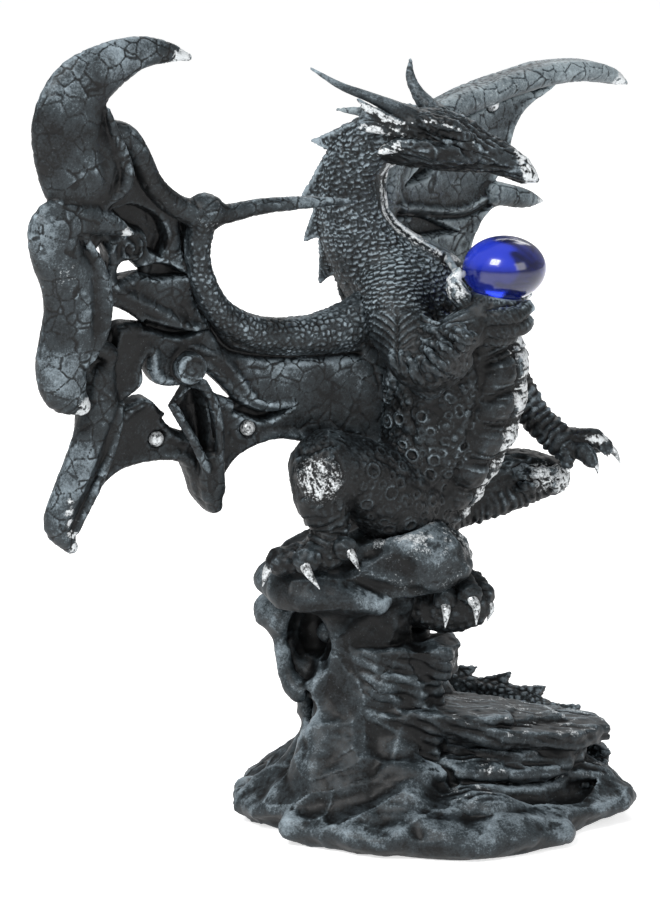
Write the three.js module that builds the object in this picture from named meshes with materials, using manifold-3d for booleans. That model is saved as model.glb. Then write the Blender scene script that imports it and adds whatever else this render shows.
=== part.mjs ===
// Dragon statue: a cast resin dragon climbing on a rock plinth, with two bonded wings and a glass ball.
// Millimetres, +Z up. The origin is the middle of the plinth's underside, and +X is the way the head points.
import * as THREE from 'three';
import { mergeVertices } from 'three/addons/utils/BufferGeometryUtils.js';
import Module from 'manifold-3d';

const wasm = await Module();
wasm.setup();

// Sizes that the whole statue shares
const SEAM = 0.35; // clearance between two separately cast pieces
const MEMBRANE = 8; // thickness of a wing between its fingers
const STUD = { radius: 2.6, recess: 3.5, depth: 1.6 };
const BALL = { centre: [23, -28, 209], across: 15, high: 11.6, sides: 16 };
const BALL_ROOM = 1.3; // the hand is cut this far clear of the ball, with flat facets that come nearer

// Where each wing leaves the shoulders: its plane is turned by yaw about +Z, then leans towards its front
const RIGHT_WING = { root: [-20, -12, 190], yaw: 30, lean: 8, cup: 4, from: -140, to: 12 };
const LEFT_WING = { root: [-14, 22, 192], yaw: 40, lean: 5, cup: 5, from: -20, to: 116 };

// The back from hips to skull, as [x, y, z, half depth front to back, half width]
const SPINE = [
  [-10, 5, 108, 14, 15],
  [-8, 4, 119, 18, 18],
  [-3, 2, 132, 21, 20],
  [2, 0, 146, 24, 22],
  [5, 0, 160, 26, 23],
  [4.6, 0, 172, 26, 23],
  [-0.2, 0, 184, 24.5, 22],
  [-8, 0, 195, 23, 20],
  [-16, 0, 205, 20, 17],
  [-25, 0, 214, 16, 14],
  [-30, 0, 223, 13.5, 12],
  [-31.5, 0, 233, 12, 10.5],
  [-30, -1, 243, 11, 9.5],
  [-22, -3, 252, 10, 9],
  [-12, -5, 255, 10, 9.5],
];

// Solid helpers
function solidOf(geometry) {
  const bare = geometry.clone();
  bare.deleteAttribute('normal');
  bare.deleteAttribute('uv');
  const merged = mergeVertices(bare, 1e-4);
  return new wasm.Manifold(new wasm.Mesh({
    numProp: 3,
    vertProperties: new Float32Array(merged.attributes.position.array),
    triVerts: new Uint32Array(merged.index.array),
  }));
}

// The corners' owners: every corner of one shell leads to the same corner
function shellsOf(corners, faces) {
  const owner = Array.from({ length: corners }, (_, corner) => corner);
  const root = (corner) => {
    let top = corner;
    while (owner[top] !== top) {
      owner[top] = owner[owner[top]];
      top = owner[top];
    }
    return top;
  };
  for (let face = 0; face < faces.length; face += 3) {
    owner[root(faces[face + 1])] = root(faces[face]);
    owner[root(faces[face + 2])] = root(faces[face]);
  }
  return root;
}

// The outer shell alone: tiny voids shut in where limbs overlap are left out, so the casting is solid
function geometryOf(solid) {
  const { vertProperties, triVerts } = solid.getMesh();
  const root = shellsOf(vertProperties.length / 3, triVerts);
  const sizes = new Map();
  for (const corner of triVerts) {
    sizes.set(root(corner), (sizes.get(root(corner)) ?? 0) + 1);
  }
  const outer = [...sizes].reduce((best, next) => (next[1] > best[1] ? next : best))[0];
  const geometry = new THREE.BufferGeometry();
  geometry.setAttribute('position', new THREE.BufferAttribute(new Float32Array(vertProperties), 3));
  geometry.setIndex([...triVerts].filter((corner) => root(corner) === outer));
  return geometry;
}

const join = (solids) => solids.reduce((whole, piece) => whole.add(piece));
const cut = (solid, tools) => tools.reduce((whole, tool) => whole.subtract(tool), solid);

// A closed surface through rings of equal length, with a point at each end
function skin(rings, start, end) {
  const sides = rings[0].length;
  const points = [...rings.flat(), start, end];
  const faces = [];
  const at = (ring, side) => ring * sides + (side % sides);
  for (let ring = 0; ring < rings.length - 1; ring += 1) {
    for (let side = 0; side < sides; side += 1) {
      faces.push(at(ring, side), at(ring, side + 1), at(ring + 1, side + 1));
      faces.push(at(ring, side), at(ring + 1, side + 1), at(ring + 1, side));
    }
  }
  const last = rings.length - 1;
  for (let side = 0; side < sides; side += 1) {
    faces.push(points.length - 2, at(0, side + 1), at(0, side));
    faces.push(points.length - 1, at(last, side), at(last, side + 1));
  }
  const geometry = new THREE.BufferGeometry().setFromPoints(points);
  geometry.setIndex(faces);
  return solidOf(geometry);
}

// One place on a limb: its middle, its direction, and the two half sizes across it
function station(stations, along, facing) {
  const route = new THREE.CatmullRomCurve3(stations.map(([x, y, z]) => new THREE.Vector3(x, y, z)));
  const girth = stations.map(([, , , wide, deep = wide]) => new THREE.Vector3(wide, deep, 0));
  const size = new THREE.CatmullRomCurve3(girth, false, 'catmullrom', 0.5).getPoint(along);
  const middle = route.getPoint(along);
  const tangent = route.getTangent(along);
  const face = facing.clone().addScaledVector(tangent, -facing.dot(tangent)).normalize();
  const side = new THREE.Vector3().crossVectors(face, tangent);
  return { middle, tangent, face, side, wide: size.x, deep: size.y };
}

// A point on a limb's skin, or lifted off it; angle 0 is its side direction and 90 its facing direction
function skinPoint(stations, along, angle, lift = 0, facing = new THREE.Vector3(0, 1, 0)) {
  const { middle, face, side, wide, deep } = station(stations, along, facing);
  const turn = THREE.MathUtils.degToRad(angle);
  return middle.clone()
    .addScaledVector(side, (wide + lift) * Math.cos(turn))
    .addScaledVector(face, (deep + lift) * Math.sin(turn));
}

// A tapered limb through [x, y, z, wide, deep] stations; deep lies along the facing direction
function limb(stations, { sides = 6, rings = 1, facing = [0, 1, 0], grow = 0 } = {}) {
  const towards = new THREE.Vector3(...facing);
  const count = (stations.length - 1) * rings;
  const loops = [];
  for (let ring = 0; ring <= count; ring += 1) {
    const loop = [];
    for (let side = 0; side < sides; side += 1) {
      loop.push(skinPoint(stations, ring / count, (360 * side) / sides, grow, towards));
    }
    loops.push(loop);
  }
  const cap = (along, sign) => {
    const { middle, tangent, wide, deep } = station(stations, along, towards);
    return middle.addScaledVector(tangent, sign * (0.5 * Math.min(wide, deep) + grow));
  };
  return skin(loops, cap(0, -1), cap(1, 1));
}

function ellipsoid([x, y, z], [across, deep, high], sides = 12, grow = 0) {
  const ball = new THREE.SphereGeometry(1, sides, Math.round(sides * 0.65));
  ball.rotateX(Math.PI / 2);
  ball.scale(across + grow, deep + grow, high + grow);
  ball.translate(x, y, z);
  return solidOf(ball);
}

// A thorn or claw: round at its root, bent at its middle, sharp at its tip
function spike(root, bend, tip, radius) {
  return limb([[...root, radius], [...bend, 0.62 * radius], [...tip, 0.25]], { sides: 4 });
}

// A plate cut to an outline in the XZ plane, between two depths
function fin(corners, near, far) {
  const outline = new THREE.Shape(corners.map(([x, z]) => new THREE.Vector2(x, z)));
  const plate = new THREE.ExtrudeGeometry(outline, { depth: far - near, bevelEnabled: false });
  plate.rotateX(Math.PI / 2);
  plate.translate(0, far, 0);
  return solidOf(plate);
}

// Rock
// The plinth's rim as [bearing, reach]: it juts to the front right, and is flatter behind
const RIM = [
  [0, 72], [25, 69], [50, 62], [90, 56], [130, 62], [165, 72], [188, 76], [222, 63],
  [250, 63], [277, 69], [298, 69], [329, 63], [348, 69],
];

// Levels of the foot that keep the rim's outline, as [z, scale]
const FOOT = [[0, 0.97], [5, 1], [11, 0.97]];

// Levels of the column above it, as [z, middle x, middle y, half width, half depth]
const COLUMN = [
  [15, -4, 1, 61, 52],
  [21, -10, 4, 46, 42],
  [30, -16, 6, 34, 34],
  [42, -22, 6, 29, 29],
  [55, -27, 6, 27, 28],
  [66, -29, 6, 28, 26],
  [76, -29, 5, 30, 28],
  [83, -26, 2, 34, 31],
  [91, -23, 0, 37, 33],
  [99, -22, 0, 33, 30],
  [106, -19, 2, 24, 24],
  [112, -16, 4, 13, 15],
];

// The rim's reach at a bearing, eased between the places that RIM gives
function rimReach(bearing) {
  const after = RIM.findIndex(([place]) => place > bearing);
  const next = after < 0 ? [360, RIM[0][1]] : RIM[after];
  const last = after < 0 ? RIM[RIM.length - 1] : RIM[after - 1];
  const ease = THREE.MathUtils.smoothstep(bearing, last[0], next[0]);
  return THREE.MathUtils.lerp(last[1], next[1], ease);
}

// How far the stone stands out or in at one place: three waves make its flutes and facets
function stoneWave(angle, z) {
  const flutes = 0.045 * Math.sin(5 * angle + 0.06 * z);
  const facets = 0.03 * Math.sin(9 * angle - 0.11 * z + 1.3);
  const swell = 0.025 * Math.sin(3 * angle + 0.17 * z + 0.5);
  return 1 + flutes + facets + swell;
}

function rockColumn(sides = 20) {
  const bearings = Array.from({ length: sides }, (_, side) => (360 * side) / sides);
  const around = (bearing, x, y, across, deep, z) => {
    const angle = THREE.MathUtils.degToRad(bearing);
    return new THREE.Vector3(x + across * Math.cos(angle), y + deep * Math.sin(angle), z);
  };
  const loops = [
    ...FOOT.map(([z, scale]) => bearings.map((bearing) => {
      const reach = scale * rimReach(bearing);
      return around(bearing, 0, 0, reach, reach, z);
    })),
    ...COLUMN.map(([z, x, y, across, deep]) => bearings.map((bearing) => {
      const wave = stoneWave(THREE.MathUtils.degToRad(bearing), z);
      return around(bearing, x, y, across * wave, deep * wave, z);
    })),
  ];
  const [topZ, topX, topY] = COLUMN[COLUMN.length - 1];
  return skin(loops, new THREE.Vector3(0, 0, 0), new THREE.Vector3(topX, topY, topZ + 2));
}

// Slabs of stone run out to the right, one over another; wide is along Y and deep is their thickness
function rockLedges() {
  const ledge = (stations, sides = 7) => limb(stations, { sides, facing: [0, 0, 1] });
  return [
    ledge([[-26, -10, 65, 15, 6], [-8, -10, 66, 12, 5], [2, -10, 65, 8, 4]], 6),
    ledge([[-28, -8, 53, 20, 7], [-10, -9, 54, 18, 7], [2, -8, 54, 13, 6]]),
    ledge([[-26, -8, 37, 24, 8], [4, -10, 37, 27, 7], [32, -11, 34, 24, 6.5], [50, -8, 32, 17, 5.5], [59, -5, 31, 8, 3.5]]),
    ledge([[-14, -12, 23, 28, 6], [18, -15, 23, 27, 6], [40, -14, 22, 22, 5.5], [54, -9, 21, 12, 4]]),
    ledge([[10, -42, 13, 10, 4], [26, -44, 13, 9, 4.5], [40, -43, 11, 6, 3.5]], 6),
    ledge([[36, -26, 8, 20, 6], [55, -16, 8, 19, 6], [66, -5, 7, 12, 4.5]]),
    ledge([[-34, -32, 9, 16, 6], [-52, -24, 9, 17, 6], [-65, -14, 7, 14, 5]]),
    ledge([[-8, 38, 9, 22, 6], [22, 40, 9, 20, 6], [44, 30, 9, 15, 5]]),
  ];
}

// The perch: a faceted boulder under the hips and a lower one under the right foot
function rockPerch() {
  const boulder = (stations) => limb(stations, { sides: 8, facing: [0, 0, 1] });
  return [
    boulder([[-44, -12, 90, 16, 9], [-26, -14, 95, 20, 12], [-8, -12, 97, 20, 13], [2, -8, 94, 16, 9.5], [8, -6, 88, 9, 6]]),
    boulder([[-59, -18, 92, 9, 7], [-48, -25, 91, 13, 8], [-33, -28, 89, 11, 7], [-22, -28, 86, 8, 4]]),
    boulder([[-61, -8, 77, 6, 5], [-53, -10, 76, 9, 8], [-44, -12, 76, 8, 7]]),
    boulder([[-16, -6, 80, 16, 9], [0, -8, 80, 14, 8], [12, -9, 78, 9, 6]]),
  ];
}

// Roots of stone: one leans on the column at its left, two spread at its front
function rockRoots() {
  return [
    limb([[-48, -4, 62, 8], [-45, -6, 44, 5.5], [-45, -10, 31, 6.5], [-58, -18, 11, 9]], { sides: 6 }),
    limb([[-36, -18, 44, 9], [-38, -28, 28, 9], [-44, -36, 12, 11]], { sides: 6 }),
    limb([[-12, -20, 44, 9], [-6, -30, 28, 9], [0, -40, 12, 11]], { sides: 6 }),
    limb([[-20, 30, 48, 8], [-28, 38, 28, 9], [-36, 44, 12, 10]], { sides: 6 }),
  ];
}

function rock() {
  const stone = join([rockColumn(), ...rockLedges(), ...rockPerch(), ...rockRoots()]);
  const hollow = ellipsoid([-49, -20, 71], [9, 12, 14], 10);
  const cleft = ellipsoid([-46, -24, 37], [3, 9, 11], 8);
  const recess = ellipsoid([42, -46, 20], [17, 14, 3.2], 8);
  const ground = new THREE.BoxGeometry(240, 240, 40).translate(0, 0, -20);
  return cut(stone, [hollow, cleft, recess, solidOf(ground)]);
}

// Torso
// Bearings of the points round one ring of the body, in degrees from the keel that runs up the belly and throat
const ROUND = [0, 9, 36, 60, 68, 105, 145, 180, 215, 255, 292, 300, 324, 351];
const PLATES = { count: 8, from: 0.05, to: 0.47, lift: 2, edge: 62 };
const KEEL = { high: 2.8, to: 0.9 };

// The keel lies at the front of the belly, and moves to the right side of the throat as the neck turns
const keelTurn = (along) => -4 - 30 * THREE.MathUtils.smoothstep(along, 0.5, 0.8);

// Rings up the body as [place along the spine, how far the belly plate stands out there]
function bodyRings() {
  const rings = [[0, 0]];
  const step = (PLATES.to - PLATES.from) / PLATES.count;
  for (let plate = 0; plate < PLATES.count; plate += 1) {
    const low = PLATES.from + step * plate;
    rings.push([low, -0.3], [low + 0.2 * step, PLATES.lift], [low + 0.82 * step, 0.8 * PLATES.lift]);
  }
  rings.push([PLATES.to, -0.3]);
  for (let place = 7; place < SPINE.length; place += 1) {
    rings.push([place / (SPINE.length - 1), 0.6]);
  }
  return rings;
}

function body(grow = 0) {
  const loops = bodyRings().map(([along, plate]) => ROUND.map((bearing) => {
    const fromKeel = Math.min(bearing, 360 - bearing);
    const keel = fromKeel === 0 && along < KEEL.to ? KEEL.high : 0;
    const lift = fromKeel < PLATES.edge ? Math.max(plate, keel) : 0;
    return skinPoint(SPINE, along, bearing + keelTurn(along), lift + grow);
  }));
  const [hips, crown] = [SPINE[0], SPINE[SPINE.length - 1]];
  return skin(loops, new THREE.Vector3(hips[0], hips[1], hips[2] - 5), new THREE.Vector3(crown[0] + 4, crown[1], crown[2]));
}

// Thorns on the back of the neck are long; those down the back and the tail are short
function backThorns() {
  const thorns = [];
  const count = 12;
  for (let thorn = 0; thorn < count; thorn += 1) {
    const along = 0.885 - (0.82 * thorn) / (count - 1);
    const high = along > 0.62 ? 4.2 : 5;
    const bearing = along > 0.62 ? 180 : 155;
    const root = skinPoint(SPINE, along, bearing, -3);
    const tip = skinPoint(SPINE, along + 0.006, bearing, high);
    const bend = root.clone().lerp(tip, 0.55);
    thorns.push(spike([root.x, root.y, root.z - 1], bend.toArray(), tip.toArray(), along > 0.62 ? 5 : 3.6));
  }
  return thorns;
}

function tail() {
  const route = [
    [-12, 8, 112, 11],
    [-14, 24, 106, 9.5],
    [-18, 34, 88, 8.5],
    [-17, 38, 66, 7.5],
    [-8, 40, 45, 7],
    [10, 36, 37.5, 6.5],
    [30, 28, 34.5, 6],
    [47, 18, 29, 5.2],
    [58, 6, 21, 4.6],
    [61, -8, 14, 4],
    [54, -18, 12, 3],
    [44, -22, 13, 1.4],
  ];
  const pieces = [limb(route)];
  for (let thorn = 1; thorn < 13; thorn += 1) {
    const along = thorn / 14;
    const { middle, tangent, wide } = station(route, along, new THREE.Vector3(0, 1, 0));
    const out = new THREE.Vector3(0.5, 0.6, 1).addScaledVector(tangent, -tangent.dot(new THREE.Vector3(0.5, 0.6, 1)));
    out.normalize();
    const root = middle.clone().addScaledVector(out, 0.6 * wide);
    const tip = middle.clone().addScaledVector(out, wide + 3.5).addScaledVector(tangent, 1.5);
    pieces.push(limb([[...root, 0.4 * wide], [...tip, 0.25]], { sides: 4 }));
  }
  return pieces;
}

// Head
const HEAD = [
  [-20, -4, 252, 9, 8.5],
  [-12, -5, 254, 10.5, 9.5],
  [-4, -6, 253.5, 10.5, 10],
  [4, -7, 252, 9.5, 9.5],
  [12, -8, 248.5, 7.5, 8],
  [19, -9, 245.5, 5.6, 6],
  [26, -9.5, 242.5, 4.4, 4.6],
  [31, -10, 240, 3.4, 3.6],
  [35, -10.5, 236.5, 1, 1.2],
];

function skull() {
  const jaw = [[-16, -5, 245.5, 4, 7], [-2, -6, 243, 3.6, 7], [12, -8, 241.5, 2.8, 5.5], [24, -9.5, 239, 2, 3.6]];
  const bridge = [[4, -7, 259, 2.6], [12, -8, 255, 2.4], [20, -9, 249, 2], [28, -10, 243.5, 1.6]];
  const pieces = [limb(HEAD, { sides: 8 }), limb(jaw), limb(bridge, { sides: 4 })];
  for (const side of [-1, 1]) {
    const middle = -6;
    const brow = [[-12, 7, 259, 2.6], [-3, 9, 259.5, 2.8], [6, 8.5, 256.5, 2.4], [12, 6, 251.5, 1.6]];
    const cheek = [[-14, 9, 250, 2.6], [-4, 10, 249, 3], [8, 8, 246.5, 2.2], [18, 4, 243.5, 1.4]];
    const place = ([x, out, z, radius]) => [x, middle - 0.1 * (x + 12) + side * out, z, radius];
    pieces.push(limb(brow.map(place), { sides: 4 }), limb(cheek.map(place), { sides: 4 }));
    pieces.push(ellipsoid([3, middle - 1.5 + side * 8.6, 253], [2.2, 1.6, 2], 6));
    pieces.push(ellipsoid([27, -10 + side * 3.2, 242.4], [1.6, 1.2, 1.2], 5));
  }
  return pieces;
}

function horns() {
  return [
    limb([[-6, -11, 259, 4], [-12, -12, 262, 3.8], [-18, -13, 265, 3], [-27, -14, 268.5, 2.1], [-36, -15, 272.5, 1.5], [-46, -16, 279, 0.4]]),
    limb([[0, 1, 260, 4], [-4, 3, 264, 3.2], [-7.5, 5, 268.5, 2.2], [-10, 7, 274, 1.5], [-10, 8, 280, 0.4]], { sides: 6 }),
  ];
}

// The frill behind each cheek: two ribs with webbing, and a blade at the jaw
function frill() {
  const web = [[-8, 261], [-30, 270], [-28, 265.5], [-26, 262.5], [-30, 257.5], [-9, 252]];
  const pieces = [];
  for (const side of [-1, 1]) {
    const depth = (x) => -5 + side * (9.5 - 0.12 * (x + 10));
    // The far one is drawn in a little, as the head turns away from it
    const scale = side < 0 ? 1 : 0.55;
    const place = ([x, z]) => [-8 + scale * (x + 8), 257 + scale * (z - 257)];
    const rib = (stations) => limb(stations.map(([x, z, radius]) => {
      const [px, pz] = place([x, z]);
      return [px, depth(px), pz, radius];
    }), { sides: 5 });
    const [near, far] = side < 0 ? [-15.2, -13.2] : [3.2, 5.2];
    pieces.push(rib([[-6, 259, 2.4], [-18, 264.5, 1.8], [-31, 270.5, 0.5]]));
    pieces.push(rib([[-6, 254, 2.4], [-18, 257, 1.9], [-31, 257.5, 0.5]]));
    pieces.push(rib([[-5, 251, 2.4], [-14, 251, 2.2], [-23, 248.5, 0.6]]));
    pieces.push(fin(web.map(place), near, far));
  }
  return pieces;
}

// Limbs
// Locks of fur hang from a joint: each starts on a ring round it and ends further out and down
function furTuft([x, y, z], radius, fall, count) {
  const locks = [];
  for (let lock = 0; lock < count; lock += 1) {
    const turn = (2 * Math.PI * lock) / count + 0.4;
    const [out, round] = [Math.cos(turn), Math.sin(turn)];
    const reach = radius * (1 + 0.25 * Math.sin(3 * turn));
    const root = [x + 0.5 * radius * out, y + 0.4 * radius * round, z];
    const bend = [x + 0.9 * reach * out, y + 0.8 * reach * round, z - 0.5 * fall];
    const tip = [x + 0.75 * reach * out + 1, y + 0.8 * reach * round, z - fall * (1 + 0.2 * Math.cos(2 * turn))];
    locks.push(spike(root, bend, tip, 0.42 * radius));
  }
  return locks;
}

const RIGHT_UPPER_ARM = [[-13, -8, 200, 12], [-16, -18, 195, 12], [-13, -26, 185, 10.5], [-7, -32, 176, 9]];
const RIGHT_THIGH = [[-10, -4, 119, 16], [-17, -14, 123, 16], [-29, -23, 132, 13.5], [-40, -30, 137, 12.5]];

function rightArm() {
  const forearm = [[-8, -32, 176, 9], [0, -36, 181, 7.5], [9, -36, 188, 6.8], [18, -32, 194, 6.5]];
  const palm = ellipsoid([19, -29, 197], [12, 12, 8.5], 10);
  // Fingers rise round the ball; each is placed by its bearing from the ball's middle
  const fingers = [200, 245, 290, 60, 120].map((bearing) => {
    const turn = THREE.MathUtils.degToRad(bearing);
    const [x, y, z] = BALL.centre;
    const ring = (reach, up) => [x + reach * Math.cos(turn), y + reach * Math.sin(turn), z + up];
    const high = bearing === 200 || bearing === 120 ? 1 : -6;
    return limb([[...ring(8, -13), 4.4], [...ring(14, -10), 3.6], [...ring(16, high - 3), 2.6], [...ring(14.5, high + 3), 0.6]], { sides: 4 });
  });
  const knuckles = [ellipsoid([28, -30, 190], [4.2, 4.5, 5], 6), ellipsoid([24, -33, 187], [4, 4, 4], 6)];
  const ballRoom = ellipsoid(BALL.centre, [BALL.across, BALL.across, BALL.high], 12, BALL_ROOM);
  const hand = cut(join([palm, ...fingers, ...knuckles]), [ballRoom]);
  return [
    limb(RIGHT_UPPER_ARM, { sides: 8 }),
    limb(forearm),
    hand,
    ...furTuft([-7, -33, 178], 10, 15, 5),
  ];
}

function leftArm() {
  const arm = [[6, 12, 188, 11], [16, 17, 176, 9.5], [26.4, 19, 162, 7.2], [33, 18, 152, 6], [40.4, 16, 143, 5.4], [47, 13, 137.5, 5.4]];
  const fingers = [
    [[46, 13, 138], [59, 9, 139.5], [68.5, 6, 131]],
    [[46, 12, 136], [55, 7, 134.5], [60, 4, 128]],
    [[46, 12, 137], [49, 8, 133], [49, 5, 127]],
    [[46, 16, 138], [57, 17, 138], [65, 18, 131]],
  ];
  return [
    limb(arm, { sides: 8 }),
    ...fingers.map(([root, bend, tip]) => limb([[...root, 3.6], [...bend, 2.6], [...tip, 0.5]], { sides: 4 })),
    ...furTuft([28, 20, 163], 5, 8, 3),
  ];
}

function rightLeg() {
  const shin = [[-41, -30, 136, 12], [-42, -33, 125, 9], [-39, -32, 115, 6.2], [-41, -34, 107, 7]];
  const toes = [
    [[-38, -35, 108], [-33, -42, 109, 3], [-29, -46, 103.5]],
    [[-42, -36, 107], [-49, -43, 104, 3.4], [-43, -49, 97]],
    [[-45, -34, 106], [-58, -35, 103, 4.6], [-63, -37, 95]],
    [[-40, -30, 107], [-44, -22, 107, 3.4], [-46, -18, 101]],
  ];
  return [
    limb(RIGHT_THIGH, { sides: 8 }),
    limb(shin, { sides: 8 }),
    ...toes.map(([root, [bx, by, bz, radius], tip]) => (
      limb([[...root, 4.6], [bx, by, bz, radius], [...tip, 0.6]], { sides: 4 })
    )),
    ...furTuft([-42, -31, 134], 9, 12, 5),
  ];
}

function leftLeg() {
  const thigh = [[-6, 10, 117, 16], [8, 16, 119, 13], [22, 20, 121.5, 10], [34, 22, 123, 8.5], [44, 20, 122.5, 6]];
  const shin = [[44, 20, 122.5, 6], [35, 18, 119, 6], [20, 12, 113.5, 5.2], [6, 7, 110, 5], [-5, 0, 101, 4.8], [1, -6, 91, 5.6]];
  const toes = [
    [[4, -7, 90], [11, -13, 86], [15, -17, 79], [13, -18, 72]],
    [[4, -6, 90], [14, -6, 87], [18, -8, 80], [16, -9, 71]],
    [[2, -8, 90], [3, -18, 87], [5, -22, 81], [4, -23, 75]],
  ];
  return [
    limb(thigh, { sides: 9 }),
    limb(shin, { sides: 8 }),
    ...toes.map(([root, bend, low, tip]) => (
      limb([[...root, 4.6], [...bend, 3.8], [...low, 2.8], [...tip, 0.5]], { sides: 4 })
    )),
    ...furTuft([40, 20, 124], 6, 7, 3),
  ];
}

function dragonOnRock() {
  return join([
    body(),
    ...backThorns(),
    ...tail(),
    ...skull(),
    ...horns(),
    ...frill(),
    ...rightArm(),
    ...leftArm(),
    ...rightLeg(),
    ...leftLeg(),
    rock(),
  ]);
}

// Wings
// A wing's own frame: x along the wing in its plane, y up it, z out of its front
function wingFrame({ root, yaw, lean }) {
  const turn = new THREE.Matrix4().makeRotationZ(THREE.MathUtils.degToRad(yaw));
  const upright = new THREE.Matrix4().makeRotationX(THREE.MathUtils.degToRad(90 + lean));
  return new THREE.Matrix4().makeTranslation(...root).multiply(turn).multiply(upright);
}

// A closed outline from stretches of smooth curve that meet at corners
function outline(stretches, detail = 1) {
  const shape = new THREE.Shape();
  shape.moveTo(...stretches[0][0]);
  for (const stretch of stretches) {
    const points = stretch.map(([x, y]) => new THREE.Vector2(x, y));
    if (points.length === 2) {
      shape.lineTo(points[1].x, points[1].y);
    } else {
      const curve = new THREE.SplineCurve(points);
      for (const point of curve.getPoints(detail * (points.length - 1)).slice(1)) {
        shape.lineTo(point.x, point.y);
      }
    }
  }
  return shape;
}

const prism = (shape, low, high) => {
  const block = new THREE.ExtrudeGeometry(shape, { depth: high - low, bevelEnabled: false });
  block.translate(0, 0, low);
  return solidOf(block);
};

// How far back the membrane is cupped at x, from none at its ends
const cupAt = ({ cup, from, to }, x) => -cup * Math.sin((Math.PI * (x - from)) / (to - from));

// A curved band of the membrane's thickness, as wide as the wing and taller than it
function membraneBand(wing, steps = 6) {
  const along = (step) => wing.from + ((wing.to - wing.from) * step) / steps;
  const front = [];
  const back = [];
  for (let step = 0; step <= steps; step += 1) {
    const x = along(step);
    front.push(new THREE.Vector2(x, cupAt(wing, x) + MEMBRANE / 2));
    back.unshift(new THREE.Vector2(x, cupAt(wing, x) - MEMBRANE / 2));
  }
  const band = new THREE.ExtrudeGeometry(new THREE.Shape([...front, ...back]), { depth: 260, bevelEnabled: false });
  band.rotateX(Math.PI / 2);
  band.translate(0, 130, 0);
  return solidOf(band);
}

function membrane(wing, edge, holes, recesses) {
  const sheet = membraneBand(wing).intersect(prism(outline(edge), -30, 30));
  const pierced = cut(sheet, holes.map((hole) => prism(outline(hole), -30, 30)));
  return cut(pierced, recesses.map((recess) => prism(outline(recess), -3, 30)));
}

const onWing = (stations, options = {}) => limb(stations, { sides: 6, ...options, facing: [0, 0, 1] });

function stud(wing, [x, y]) {
  const face = cupAt(wing, x) + MEMBRANE / 2;
  const well = new THREE.CylinderGeometry(STUD.recess, STUD.recess, 2 * STUD.depth, 12);
  well.rotateX(Math.PI / 2);
  well.translate(x, y, face);
  const dome = new THREE.SphereGeometry(STUD.radius, 8, 6);
  dome.scale(1, 1, 0.9);
  dome.translate(x, y, face - STUD.depth + 0.4);
  return { well: solidOf(well), dome: solidOf(dome) };
}

function withStuds(solid, wing, places) {
  const studs = places.map((place) => stud(wing, place));
  return join([cut(solid, studs.map(({ well }) => well)), ...studs.map(({ dome }) => dome)]);
}

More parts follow.
